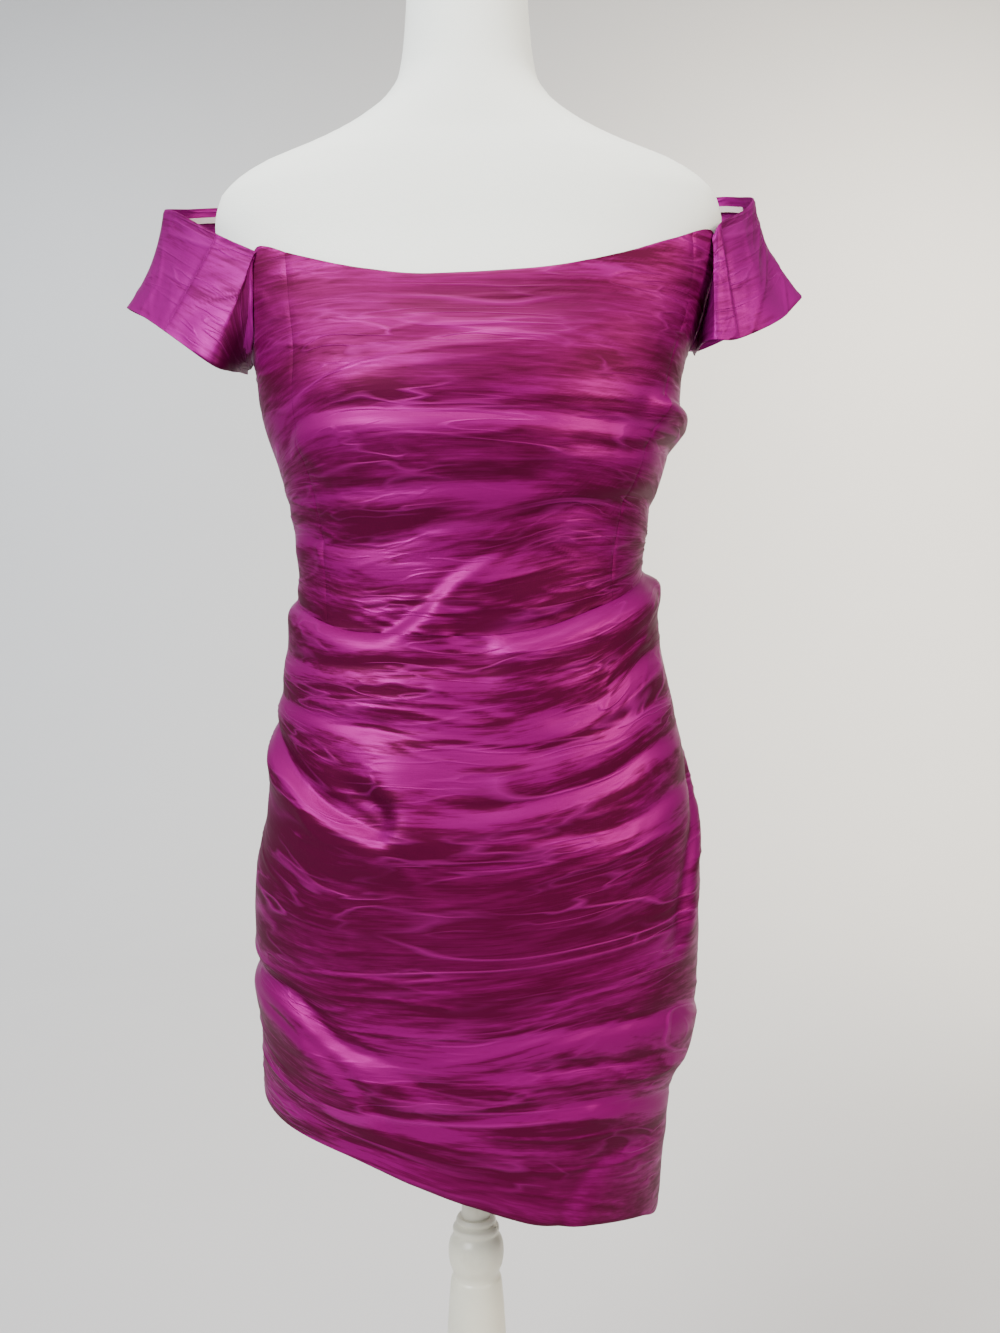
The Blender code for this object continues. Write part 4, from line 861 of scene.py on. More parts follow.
@dataclass(frozen=True)
class Taffeta:
    """Crinkled plum taffeta, with painted highlight on its ridges and painted light and shade on
    its crinkles.
    """

    name: str
    # ridge is a painted highlight along the thin ridges; the next colour is painted highlight,
    # body the cloth's own plum and the last painted shade
    ridge: Colour
    bright: Colour
    body: Colour
    painted_shade: Colour
    roughness: float = 0.52
    metallic: float = 0.45

    def material(self) -> bpy.types.Material:
        """Builds the material."""
        graph = ShaderGraph(self.name)
        # Painted highlight and shade written on the cloth
        lustre = graph.add("Attribute", {"attribute_name": "lustre"}, {})[2]
        play = graph.add("Attribute", {"attribute_name": "play"}, {})[2]
        slub = graph.noise(graph.place((24, 850, 1), True), 2.0, 0.6)
        warp = graph.noise(graph.place((1000, 90, 1), True), 1.0)
        patch = graph.noise(graph.place((9, 50, 1), True), 1.5, 0.5, 0.3)
        streak = graph.noise(graph.place((30, 260, 1), True), 3.0, 0.65)
        long_ridge = self.ridges(graph, (5, 36, 1), 34, (6, 15, 1))
        short_ridge = self.ridges(graph, (15, 85, 1), 20, (9, 28, 1))
        ridges = (long_ridge + short_ridge * 0.7).kept()
        # Partly painted light and shade from the attribute on the cloth, partly random patches,
        # streaks and slubs of tone
        mixed = (lustre - 0.5) * 3.0 + (patch - 0.5) * 3.2 + (streak - 0.5) * 3.0
        painted_light_and_tone = (mixed * play + (slub - 0.5) * 0.7 + (lustre - 0.5) * 0.8 + 0.5).kept()
        colour = graph.mix((painted_light_and_tone * 2.0).kept(), self.painted_shade, self.body)
        colour = graph.mix(((painted_light_and_tone - 0.5) * 2.0).kept(), colour, self.bright)
        # Painted highlight along the thin ridges
        colour = graph.mix(ridges * 0.75, colour, self.ridge)
        weave = graph.bump(slub * 0.7 + warp * 0.3, 0.0003, 0.45)
        normal = graph.bump(ridges * 0.75 + streak * 0.25, 0.0012, 0.6, weave)
        rough = self.roughness + (0.5 - painted_light_and_tone) * 0.12 + (slub - 0.5) * 0.10
        return graph.finish(
            {
                "Base Color": colour,
                "Metallic": self.metallic,
                "Roughness": rough,
                "Specular IOR Level": 0.1,
                "Normal": normal,
            }
        )

    def ridges(self, graph: ShaderGraph, scale: Colour, sharp: float, spread: Colour) -> Sock:
        """Thin pinched ridges, which wander along the flow and die away.

        Args:
            graph: The material's graph.
            scale: Ridges to the metre round and up the cloth.
            sharp: How thin they are.
            spread: How often they die away, to the metre.

        Returns:
            The ridges from 0 to 1.
        """
        path = graph.noise(graph.place(scale, True), 1.5, 0.5, 0.5)
        some = ((graph.noise(graph.place(spread, True), 1.0) - 0.5) * 7 + 0.2).kept()
        return (1 - (path - 0.5).size() * sharp).kept() * some


@dataclass(frozen=True)
class WovenTape:
    """A narrow woven tape."""

    name: str
    colour: Colour
    shade: Colour
    on_cloth: bool
    roughness: float = 0.72

    def material(self) -> bpy.types.Material:
        """Builds the material."""
        graph = ShaderGraph(self.name)
        ribs = graph.noise(graph.place((1400, 1400, 500), self.on_cloth), 1.0)
        soil = graph.noise(graph.place((60, 60, 60), self.on_cloth), 3.0)
        colour = graph.mix((ribs * 0.6 + soil * 0.4).kept(), self.shade, self.colour)
        normal = graph.bump(ribs, 0.0003, 0.5)
        rough = self.roughness + (soil - 0.5) * 0.1
        return graph.finish({"Base Color": colour, "Roughness": rough, "Normal": normal})


@dataclass(frozen=True)
class Enamel:
    """Enamelled metal, or the like plastic of zip teeth, worn paler here and there."""

    name: str
    colour: Colour
    worn: Colour
    metallic: float
    roughness: float

    def material(self) -> bpy.types.Material:
        """Builds the material."""
        graph = ShaderGraph(self.name)
        wear = graph.noise(graph.place((420, 420, 420), False), 4.0, 0.6)
        worn = ((wear - 0.62) * 5).kept()
        colour = graph.mix(worn * 0.5, self.colour, self.worn)
        normal = graph.bump(wear, 0.0001, 0.3)
        values = {"Base Color": colour, "Metallic": self.metallic, "Normal": normal}
        values["Roughness"] = self.roughness + (wear - 0.5) * 0.2
        values["Coat Weight"] = 0.3
        return graph.finish(values)


@dataclass(frozen=True)
class Jersey:
    """Fine white jersey stretched over the form."""

    name: str
    colour: Colour
    shade: Colour
    roughness: float = 0.9

    def material(self) -> bpy.types.Material:
        """Builds the material."""
        graph = ShaderGraph(self.name)
        knit = graph.noise(graph.place((700, 700, 1300), False), 2.0)
        soil = graph.noise(graph.place((14, 14, 9), False), 4.0, 0.55)
        nap = graph.noise(graph.place((160, 160, 160), False), 3.0)
        colour = graph.mix((soil * 0.5 + nap * 0.3 + knit * 0.2).kept(), self.shade, self.colour)
        fine = graph.bump(knit, 0.0004, 0.5)
        normal = graph.bump(nap, 0.0006, 0.25, fine)
        values: dict[str, Any] = {"Base Color": colour, "Normal": normal}
        values |= {"Sheen Weight": 0.2, "Sheen Roughness": 0.5}
        values["Roughness"] = self.roughness - (1 - nap) * 0.08
        return graph.finish(values)


@dataclass(frozen=True)
class PaintedWood:
    """Turned wood under cream paint, with brush marks and patches of soil."""

    name: str
    colour: Colour
    soiled: Colour
    roughness: float = 0.42

    def material(self) -> bpy.types.Material:
        """Builds the material."""
        graph = ShaderGraph(self.name)
        brush = graph.noise(graph.place((60, 60, 420), False), 3.0)
        grain = graph.noise(graph.place((130, 130, 12), False), 4.0, 0.6)
        soil = graph.noise(graph.place((30, 30, 22), False), 5.0, 0.6)
        colour = graph.mix(((soil - 0.5) * 2.4).kept() * 0.6, self.colour, self.soiled)
        normal = graph.bump(brush * 0.6 + grain * 0.4, 0.0004, 0.35)
        values: dict[str, Any] = {"Base Color": colour, "Normal": normal}
        values |= {"Coat Weight": 0.25, "Coat Roughness": 0.25}
        values["Roughness"] = self.roughness + (grain - 0.5) * 0.2
        return graph.finish(values)


@dataclass(frozen=True)
class PlainFloor:
    """A matt pale floor."""

    name: str
    colour: Colour

    def material(self) -> bpy.types.Material:
        """Builds the material."""
        graph = ShaderGraph(self.name)
        tone = graph.noise(graph.place((3, 3, 3), False), 2.0)
        shade = tuple(0.97 * part for part in self.colour)
        colour = graph.mix(tone, self.colour, shade)
        return graph.finish({"Base Color": colour, "Roughness": 0.9})


def add_mesh(
    name: str, points: Array, faces: Any, material: bpy.types.Material
) -> bpy.types.Object:
    """Adds a mesh object with its place in its mesh.

    Args:
        name: The object's name.
        points: The points.
        faces: The faces, as lists of point numbers.
        material: Its finish.

    Returns:
        The object.
    """
    mesh = bpy.data.meshes.new(name)
    mesh.from_pydata(points.tolist(), [], faces)
    mesh.update()
    made = bpy.data.objects.new(name, mesh)
    bpy.context.scene.collection.objects.link(made)
    mesh.materials.append(material)
    return made


def settle(piece: bpy.types.Object, sharp: float) -> None:
    """Turns a piece's faces outwards and smooths them between its sharp edges.

    Args:
        piece: The piece.
        sharp: The angle in degrees past which an edge stays sharp.
    """
    bpy.ops.object.select_all(action="DESELECT")
    bpy.context.view_layer.objects.active = piece
    piece.select_set(True)
    bpy.ops.object.mode_set(mode="EDIT")
    bpy.ops.mesh.select_all(action="SELECT")
    bpy.ops.mesh.normals_make_consistent(inside=False)
    bpy.ops.object.mode_set(mode="OBJECT")
    bpy.ops.object.shade_smooth_by_angle(angle=math.radians(sharp))
    piece.select_set(False)


@dataclass
class ClothGrid:
    """A sheet of cloth as a grid of outer points, with the wall's direction at each."""

    outer: Array
    outward: Array
    across: Array
    up: Array
    # Painted highlight and shade for the taffeta's colour
    lustre: Array
    play: Array
    thickness: float = 0.0012
    closed: bool = False
    rim: float = 0.0005

    def build(self, name: str, material: bpy.types.Material) -> bpy.types.Object:
        """Builds the cloth as a thin closed shell with a rounded upper and lower edge.

        Args:
            name: The piece's name.
            material: Its finish.

        Returns:
            The piece.
        """
        inner = self.outer - self.outward * self.thickness
        middle = (self.outer + inner) / 2
        low = middle[:1] + self.rim * unit(self.outer[:1] - self.outer[1:2])
        high = middle[-1:] + self.rim * unit(self.outer[-1:] - self.outer[-2:-1])
        around = np.concatenate([self.outer, high, inner[::-1], low])
        count, columns = around.shape[:2]
        number = np.arange(count * columns).reshape(count, columns)
        beside = np.roll(number, -1, axis=1) if self.closed else number[:, 1:]
        here = number if self.closed else number[:, :-1]
        above = np.roll(here, -1, axis=0)
        above_beside = np.roll(beside, -1, axis=0)
        faces = np.stack([here, beside, above_beside, above], axis=-1).reshape(-1, 4).tolist()
        if not self.closed:
            faces.append(number[:, 0].tolist())
            faces.append(number[::-1, -1].tolist())
        piece = add_mesh(name, around.reshape(-1, 3), faces, material)
        self.write_places(piece.data)
        settle(piece, 50)
        return piece

    def write_places(self, mesh: bpy.types.Mesh) -> None:
        """Writes each point's place on the cloth, its painted light and shade, and how much they
        and the random tone play.
        """
        parts = (self.across, self.up, self.lustre, self.play)
        folded = [
            np.concatenate([part, part[-1:], part[::-1], part[:1]]).ravel() for part in parts
        ]
        for name, values in (("lustre", folded[2]), ("play", folded[3])):
            layer = mesh.attributes.new(name, "FLOAT", "POINT")
            layer.data.foreach_set("value", values.astype(np.float32))
        corners = np.empty(len(mesh.loops), dtype=np.int32)
        mesh.loops.foreach_get("vertex_index", corners)
        places = np.stack([folded[0][corners], folded[1][corners]], axis=-1)
        layer = mesh.uv_layers.new(name="cloth")
        layer.data.foreach_set("uv", places.astype(np.float32).ravel())


@dataclass
class Panel:
    """A panel cut between two seams, a lower edge and an upper edge."""

    name: str
    node: str
    lower: Callable[[Array], Array]
    upper: Callable[[Array], Array]
    sides: tuple[Callable[[Array], Array], Callable[[Array], Array]]
    rows: int
    columns: int
    flat: tuple[float, float]
    area: float
    place: tuple[float, float]
    sag: float = 0.0
    corners: tuple[float, ...] = (0.0, 1.0)

    def shares(self) -> Array:
        """The columns' shares of the way between the seams, with one at each corner."""
        spans = np.diff(self.corners)
        counts = np.maximum(np.round(spans * self.columns).astype(int), 2)
        parts = [np.linspace(start, start + span, count, endpoint=False)
                 for start, span, count in zip(self.corners, spans, counts)]
        return np.concatenate([*parts, [1.0]])

    def grid(self) -> tuple[Array, Array]:
        """The panel's angles and heights."""
        first, last = self.sides
        across = self.shares()[None, :]
        rise = np.linspace(0, 1, self.rows + 1)[:, None]
        guess = np.array([[first(1.2), last(1.2)]] * (self.rows + 1))
        for _ in range(3):
            angle = guess[:, :1] + (guess[:, 1:] - guess[:, :1]) * across
            height = self.lower(angle) + (self.upper(angle) - self.lower(angle)) * rise
            guess = np.stack([first(height[:, 0]), last(height[:, -1])], axis=1)
        angle = guess[:, :1] + (guess[:, 1:] - guess[:, :1]) * across
        height = self.lower(angle) + (self.upper(angle) - self.lower(angle)) * rise
        height = height + 4 * rise * (1 - rise) * self.sag * ((angle / 90) ** 2 - 0.5)
        return angle, height


@dataclass
class Dress:
    """The dress: bodice, draped skirt front, two backs and two sleeves with their tapes."""

    seam_gap: float = 0.0002
    waist_gap: float = 0.0003
    zip_half: float = 0.0033
    zip_end: float = 0.900
    sleeve_lap: float = 0.004
    sleeve_stand: float = 0.0008
    back_corner_stand: float = 0.0022
    sleeve_waist: float = 0.006
    sleeve_rows: int = 64
    sleeve_columns: int = 200
    sleeve_tall: float = 0.11
    mean_radius: float = 0.150
    princess_radius: float = 0.14
    side_depth: float = 0.105
    zip_taper: float = 0.010
    least_stand: float = 0.0008
    edge_calm: float = 0.004
    edge_start: float = 0.002
    dip_deep: float = 0.0003
    dip_wide: float = 0.0015
    tape_shares: tuple[float, float] = (9 / 34, 13 / 34)
    tape_drops: tuple[float, float] = (0.014, 0.009)
    tape_places: int = 11
    tape_inset: float = 0.0022
    tape_lift: float = 0.0013
    tape_step: float = 0.002
    soft_passes: int = 3
    # In both taffetas ridge is a painted highlight along the thin ridges, the second colour
    # painted highlight, body the cloth's own plum and the last painted shade
    taffeta: Taffeta = Taffeta(
        "taffeta",
        ridge=(0.260, 0.004, 0.150),
        bright=(0.185, 0.0, 0.098),
        body=(0.118, 0.0, 0.050),
        painted_shade=(0.070, 0.0, 0.022),
    )
    sleeve_taffeta: Taffeta = Taffeta(
        "sleeve_taffeta",
        ridge=(0.260, 0.006, 0.170),
        bright=(0.185, 0.0, 0.115),
        body=(0.120, 0.0, 0.064),
        painted_shade=(0.072, 0.0, 0.032),
    )
    # The tape's pinkish beige is partly its own colour and partly darkened as painted shade for
    # the inside of the sleeve
    tape: WovenTape = WovenTape("sleeve_tape", (0.640, 0.520, 0.500), (0.480, 0.360, 0.350), True)
    crinkle: Crinkle = field(default_factory=Crinkle)
    surface: BodySurface = BodySurface(DRESS_SECTIONS)

    @cached_property
    def creases(self) -> Creases:
        """The folds on the base surface."""
        return Creases(self.surface, FOLDS)

    def top_edge(self, angle: Array) -> Array:
        """Heights of the neckline and armholes."""
        return read_table(TOP_EDGE, "angle", angle)[0]

    def waist(self, angle: Array) -> Array:
        """Heights of the waist seam."""
        return read_table(WAIST_EDGE, "angle", angle)[0]

    def bodice_bottom(self, angle: Array) -> Array:
        """Heights of the bodice's lower edge."""
        return self.waist(angle) + self.waist_gap / 2

    def skirt_top(self, angle: Array) -> Array:
        """Heights of the skirt's upper edge."""
        return self.waist(angle) - self.waist_gap / 2

    def hem(self, angle: Array) -> Array:
        """Heights of the hem."""
        return read_table(HEM_EDGE, "angle", angle)[0]

    def shaped_seam(self, table: tuple[SeamPoint, ...], sign: int) -> Callable[[Array], Array]:
        """One side of a shaped seam, as the angle at a height."""
        shift = sign * math.degrees(self.seam_gap / 2 / self.princess_radius)
        return lambda height: read_table(table, "height", height)[0] + shift

    def side_seam(self, angle: float, sign: int) -> Callable[[Array], Array]:
        """One side of a side seam, as the angle at a height."""
        share = (self.seam_gap / 2 / self.side_depth) ** 1.1
        edge = angle + sign * math.degrees(math.asin(share))
        return lambda height: np.full(np.shape(height), edge)

    def centre_back(self, sign: int) -> Callable[[Array], Array]:
        """The edge of a back beside the zip, and below its end beside the other back."""
        def edge(height: Array) -> Array:
            height = np.asarray(height, dtype=float)
            right, left, _, _, square = read_table(DRESS_SECTIONS, "height", height)
            open_share = np.clip((height - self.zip_end) / self.zip_taper + 3, 0, 1)
            half = self.seam_gap / 2 + open_share * (self.zip_half - self.seam_gap / 2)
            side = left if sign > 0 else right
            return sign * (180 - np.degrees(np.arcsin((half / side) ** (square / 2))))

        return edge

    def panels(self) -> list[Panel]:
        """The panels, with the sizes that they were cut to."""
        right_seam, left_seam = self.side_seam(-90, -1), self.side_seam(90, 1)
        return [
            Panel("bodice_front_cloth", "bodice_front", self.bodice_bottom, self.top_edge,
                  (self.shaped_seam(PRINCESS_RIGHT, 1), self.shaped_seam(PRINCESS_LEFT, -1)),
                  170, 84, (0.27, 0.34), 0.075, (3.0, 5.0)),
            Panel("bodice_side_right_cloth", "bodice_side_right",
                  self.bodice_bottom, self.top_edge,
                  (self.shaped_seam(PRINCESS_RIGHT, -1), self.side_seam(-90, 1)),
                  170, 48, (0.14, 0.34), 0.026, (3.0, 5.0), corners=(0.0, 0.36, 1.0)),
            Panel("bodice_side_left_cloth", "bodice_side_left", self.bodice_bottom, self.top_edge,
                  (self.shaped_seam(PRINCESS_LEFT, 1), self.side_seam(90, -1)),
                  170, 44, (0.13, 0.34), 0.022, (3.0, 5.0), corners=(0.0, 0.257, 1.0)),
            Panel("skirt_front_cloth", "skirt_front", self.hem, self.skirt_top,
                  (self.side_seam(-90, 1), self.side_seam(90, -1)),
                  250, 150, (0.50, 0.62), 0.27, (23.0, 9.0), sag=0.028),
            Panel("back_right_cloth", "back_right", self.hem, self.top_edge,
                  (right_seam, self.centre_back(-1)), 330, 84, (0.29, 0.90), 0.215, (31.0, 13.0)),
            Panel("back_left_cloth", "back_left", self.hem, self.top_edge,
                  (left_seam, self.centre_back(1)), 330, 84, (0.29, 0.90), 0.215, (37.0, 13.0)),
        ]

    def flow(self, angle: Array, height: Array) -> Array:
        """The level of the crinkle line that runs through each place."""
        round_body = np.where(angle < -90, angle + 360, angle)
        knots = np.array([*FLOW_ANGLES, 270], dtype=float)
        levels = np.array([line.level for line in FLOW_LINES])[::-1]
        heights = []
        for line in FLOW_LINES[::-1]:
            values = np.array([*line[1:], line.right])
            heights.append(smooth_column(knots, values, round_body))
        heights = np.stack(heights)
        below = np.clip((heights <= height).sum(axis=0) - 1, 0, len(levels) - 2)
        low = np.take_along_axis(heights, below[None], axis=0)[0]
        high = np.take_along_axis(heights, below[None] + 1, axis=0)[0]
        return levels[below] + (height - low) / (high - low) * (levels[below + 1] - levels[below])

    def reach_of(self, area: SoftArea, angle: Array, height: Array) -> Array:
        """How much each place lies in a soft area, from 0 to 1."""
        turn = wrap_angle(angle - area.angle) / area.across
        rise = (height - area.height) / area.tall
        return np.exp(-(turn**2) - rise**2)

    def strength(self, areas: tuple[SoftArea, ...], angle: Array, height: Array) -> Array:
        """How much the soft areas together leave of something at each place."""
        strength = np.ones(height.shape)
        for area in areas:
            strength = strength * (1 + (area.amount - 1) * self.reach_of(area, angle, height))
        return strength

    def lustre(self, outer: Array, normal: Array, angle: Array, height: Array) -> Array:
        """Painted highlight on the upper side of each crinkle and painted shade below it.

        Args:
            outer: The cloth's points.
            normal: The directions of its smooth base.
            angle: The places' angles.
            height: The places' heights.

        Returns:
            The painted light from 0 to 1.
        """
        facing = unit(np.cross(np.gradient(outer, axis=1), np.gradient(outer, axis=0)))
        facing = facing * np.sign(np.sum(facing * normal, axis=-1, keepdims=True))
        lift = facing[..., 2] - normal[..., 2]
        # Painted highlight and painted shade in the listed areas
        tone = sum(area.amount * self.reach_of(area, angle, height) for area in PAINTED_LIGHT_AREAS)
        return np.clip(0.5 + 0.8 * lift + 0.35 * tone, 0, 1)

    def soften(self, stand: Array) -> Array:
        """The folds' heights, smoothed over a few millimetres, with the panel's edges kept."""
        for _ in range(self.soft_passes):
            padded = np.pad(stand, 1, mode="edge")
            level = (padded[1:-1, :-2] + 2 * padded[1:-1, 1:-1] + padded[1:-1, 2:]) / 4
            padded = np.pad(level, 1, mode="edge")
            level = (padded[:-2, 1:-1] + 2 * padded[1:-1, 1:-1] + padded[2:, 1:-1]) / 4
            stand[1:-1, 1:-1] = level[1:-1, 1:-1]
        return stand

    def edge_fade(self, distance: Array) -> Array:
        """How far the crinkles have died away near a seam."""
        return ease(distance / self.edge_calm)

    def build_panel(self, panel: Panel) -> bpy.types.Object:
        """Builds a panel as a thin shell on its solid's form and hides the solid."""
        angle, height = panel.grid()
        base = self.surface.point(angle, height)
        normal = self.surface.normal(angle, height)
        steps = np.linalg.norm(np.diff(base, axis=1), axis=-1)
        width = np.concatenate([np.zeros((len(base), 1)), np.cumsum(steps, axis=1)], axis=1)
        place = np.radians(angle) * self.mean_radius + panel.place[0]
        rises = np.linalg.norm(np.diff(base, axis=0), axis=-1)
        tall = np.concatenate([np.zeros((1, base.shape[1])), np.cumsum(rises, axis=0)], axis=0)
        up = self.flow(angle, height)
        crinkle = self.crinkle.height(place, up + panel.place[1])
        side = np.minimum(width, width[:, -1:] - width)
        edge = np.minimum(tall, tall[-1:] - tall)
        fade = self.edge_fade(side + self.edge_start) * self.edge_fade(edge + self.edge_start)
        seam_dip = self.dip_deep * np.exp(-((side / self.dip_wide) ** 2))
        stand = self.soften(self.creases.stand(angle, height))
        stand = stand + crinkle * fade * self.strength(CALM_AREAS, angle, height) - seam_dip
        outer = base + normal * np.maximum(stand, self.least_stand)[..., None]
        # Painted highlight and shade from the crinkles' tilt and the listed areas
        lustre = self.lustre(outer, normal, angle, height)
        play = self.strength(PLAY_AREAS, angle, height)
        sheet = ClothGrid(outer, normal, place, up + panel.place[1], lustre, play)
        piece = sheet.build(panel.name, self.taffeta_material)
        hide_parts(panel.node)
        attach(piece, Body.DRESS.value)
        return piece

    @cached_property
    def taffeta_material(self) -> bpy.types.Material:
        """The panels' finish."""
        return self.taffeta.material()

    @cached_property
    def sleeve_material(self) -> bpy.types.Material:
        """The sleeves' finish."""
        return self.sleeve_taffeta.material()

    @cached_property
    def tape_material(self) -> bpy.types.Material:
        """The tapes' finish."""
        return self.tape.material()

    def armhole_points(self, angles: Array) -> Array:
        """Points of the sleeve's sewn edge, lapped just outside the bodice's armhole edge."""
        heights = self.top_edge(angles) - self.sleeve_lap
        base = self.surface.point(angles, heights)
        normal = self.surface.normal(angles, heights)
        at_corner = np.exp(-(((np.abs(angles) - 120) / 10) ** 2))
        stand = self.creases.stand(angles, heights) + self.sleeve_stand
        stand = stand + self.back_corner_stand * at_corner
        return base + normal * stand[..., None]

    def ring_inward(self, points: Array) -> Array:
        """The level direction into each closed ring of a grid."""
        along = np.roll(points, -1, axis=1) - np.roll(points, 1, axis=1)
        after = np.roll(points, -1, axis=1)
        area = np.sum(points[..., 0] * after[..., 1] - points[..., 1] * after[..., 0], axis=1)
        turn = np.sign(area)[:, None]
        level = np.zeros(along.shape[:2])
        return unit(np.stack([-along[..., 1] * turn, along[..., 0] * turn, level], axis=-1))

    def sleeve_surface(
        self,
        free: tuple[SleevePlace, ...],
        armhole: tuple[ArmholePlace, ...],
        ripples: tuple[SleeveRipple, ...],
    ) -> tuple[Array, Array, Array]:
        """A sleeve's smooth outer points, from its hem up and round the arm.

        Args:
            free: The places off the armhole, from the front of the shoulder to its back.
            armhole: The places on the armhole, from its back corner to its front one.
            ripples: The flutes at the hem.

        Returns:
            The points, and each point's shares of the way round and up.
        """
        count = self.sleeve_columns
        places = len(free) + len(armhole)
        where = np.arange(count) * places / count
        hem_ring = smooth_curve([place.hem for place in (*free, *armhole)], count, closed=True)
        angles = np.array([float(place.angle) for place in armhole])
        from_corner = np.clip(where - len(free), 0, len(armhole) - 1)
        sewn = self.armhole_points(np.interp(from_corner, np.arange(len(armhole)), angles))
        corners = self.armhole_points(angles[[-1, 0]])
        steps = 400
        route = [corners[0], *(place.top for place in free), corners[1]]
        free_line = smooth_curve(route, (len(free) + 1) * steps + 1)
        spot = np.clip(np.round(((where + 1) % places) * steps).astype(int), 0, len(free_line) - 1)
        on_armhole = (where >= len(free)) & (where <= places - 1)
        top_ring = np.where(on_armhole[:, None], sewn, free_line[spot])
        drop = np.linspace(0, 1, self.sleeve_rows + 1)[:, None]
        surface = hem_ring[None] * (1 - drop[..., None]) + top_ring[None] * drop[..., None]
        share = where / places
        middle = (len(free) - 1) / 2 / places
        on_free = np.clip(1 - np.abs(share - middle) / (2.6 / places), 0, 1)
        curve = -self.sleeve_waist * 4 * drop * (1 - drop) * on_free[None]
        for ripple in ripples:
            spread = (share - ripple.place + 0.5) % 1.0 - 0.5
            flute = np.exp(-((spread / ripple.width) ** 2))
            curve = curve + ripple.height * (1 - drop) ** 1.5 * flute
        outer = surface - self.ring_inward(surface) * curve[..., None]
        return outer, share[None] + 0 * drop, drop + 0 * share[None]

    def build_sleeve(
        self,
        side: str,
        free: tuple[SleevePlace, ...],
        armhole: tuple[ArmholePlace, ...],
        ripples: tuple[SleeveRipple, ...],
        place: float,
    ) -> list[bpy.types.Object]:
        """Builds one sleeve and the tape inside its back."""
        smooth, share, drop = self.sleeve_surface(free, armhole, ripples)
        inward = self.ring_inward(smooth)
        step = np.linalg.norm(np.roll(smooth, -1, axis=1) - smooth, axis=-1)
        across = np.cumsum(step, axis=1)
        up = drop * self.sleeve_tall
        crinkle = self.crinkle.height(up * 0.7 + across * 0.35 + place, across * 0.6 - up * 0.25)
        fade = self.edge_fade(up + self.edge_start) * self.edge_fade(self.sleeve_tall - up)
        wrap = ease(np.minimum(share, 1 - share) / 0.02)
        outer = smooth - inward * (crinkle * fade * wrap)[..., None]
        # Painted highlight and shade from the crinkles' tilt
        lustre = self.lustre(outer, -inward, 0 * drop, 0 * drop)
        play = np.full(lustre.shape, 0.6)
        sheet = ClothGrid(outer, -inward, across, up, lustre, play, closed=True)
        sleeve = sheet.build(f"sleeve_{side}_cloth", self.sleeve_material)
        tape = self.build_tape(side, smooth, inward)
        for piece, node, slot in ((sleeve, "sleeve_", "taffeta"), (tape, "tape_", "tape")):
            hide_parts(node + side)
            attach(piece, Body.DRESS.value)
        return [sleeve, tape]

    def build_tape(self, side: str, smooth: Array, inward: Array) -> bpy.types.Object:
        """Builds the pale tape inside the back of a sleeve, just below its top edge."""
        first, last = (round(self.sleeve_columns * share) for share in self.tape_shares)
        columns = np.arange(first, last + 1)
        inner = smooth + inward * self.tape_inset
        tall = (inner[-1, columns, 2] - inner[0, columns, 2])[None]
        down = np.linspace(*self.tape_drops, self.tape_places)[:, None]
        where = (1 - down / tall) * self.sleeve_rows
        row = np.floor(where).astype(int)
        part = (where - row)[..., None]
        lying = inner[row, columns] * (1 - part) + inner[row + 1, columns] * part
        outward = inward[row, columns]
        outer = lying + outward * self.tape_lift
        across = np.cumsum(np.full(lying.shape[:2], self.tape_step), axis=1)
        plain = 0 * across
        sheet = ClothGrid(
            outer, outward, across, down + plain, plain, plain, thickness=0.0008, rim=0.0002
        )
        return sheet.build(f"tape_{side}_woven", self.tape_material)

    def build(self) -> list[bpy.types.Object]:
        """Builds all the cloth."""
        made = [self.build_panel(panel) for panel in self.panels()]
        made += self.build_sleeve("right", SLEEVE_RIGHT, ARMHOLE_RIGHT, RIPPLES_RIGHT, 41.0)
        made += self.build_sleeve("left", SLEEVE_LEFT, ARMHOLE_LEFT, RIPPLES_LEFT, 47.0)
        return made


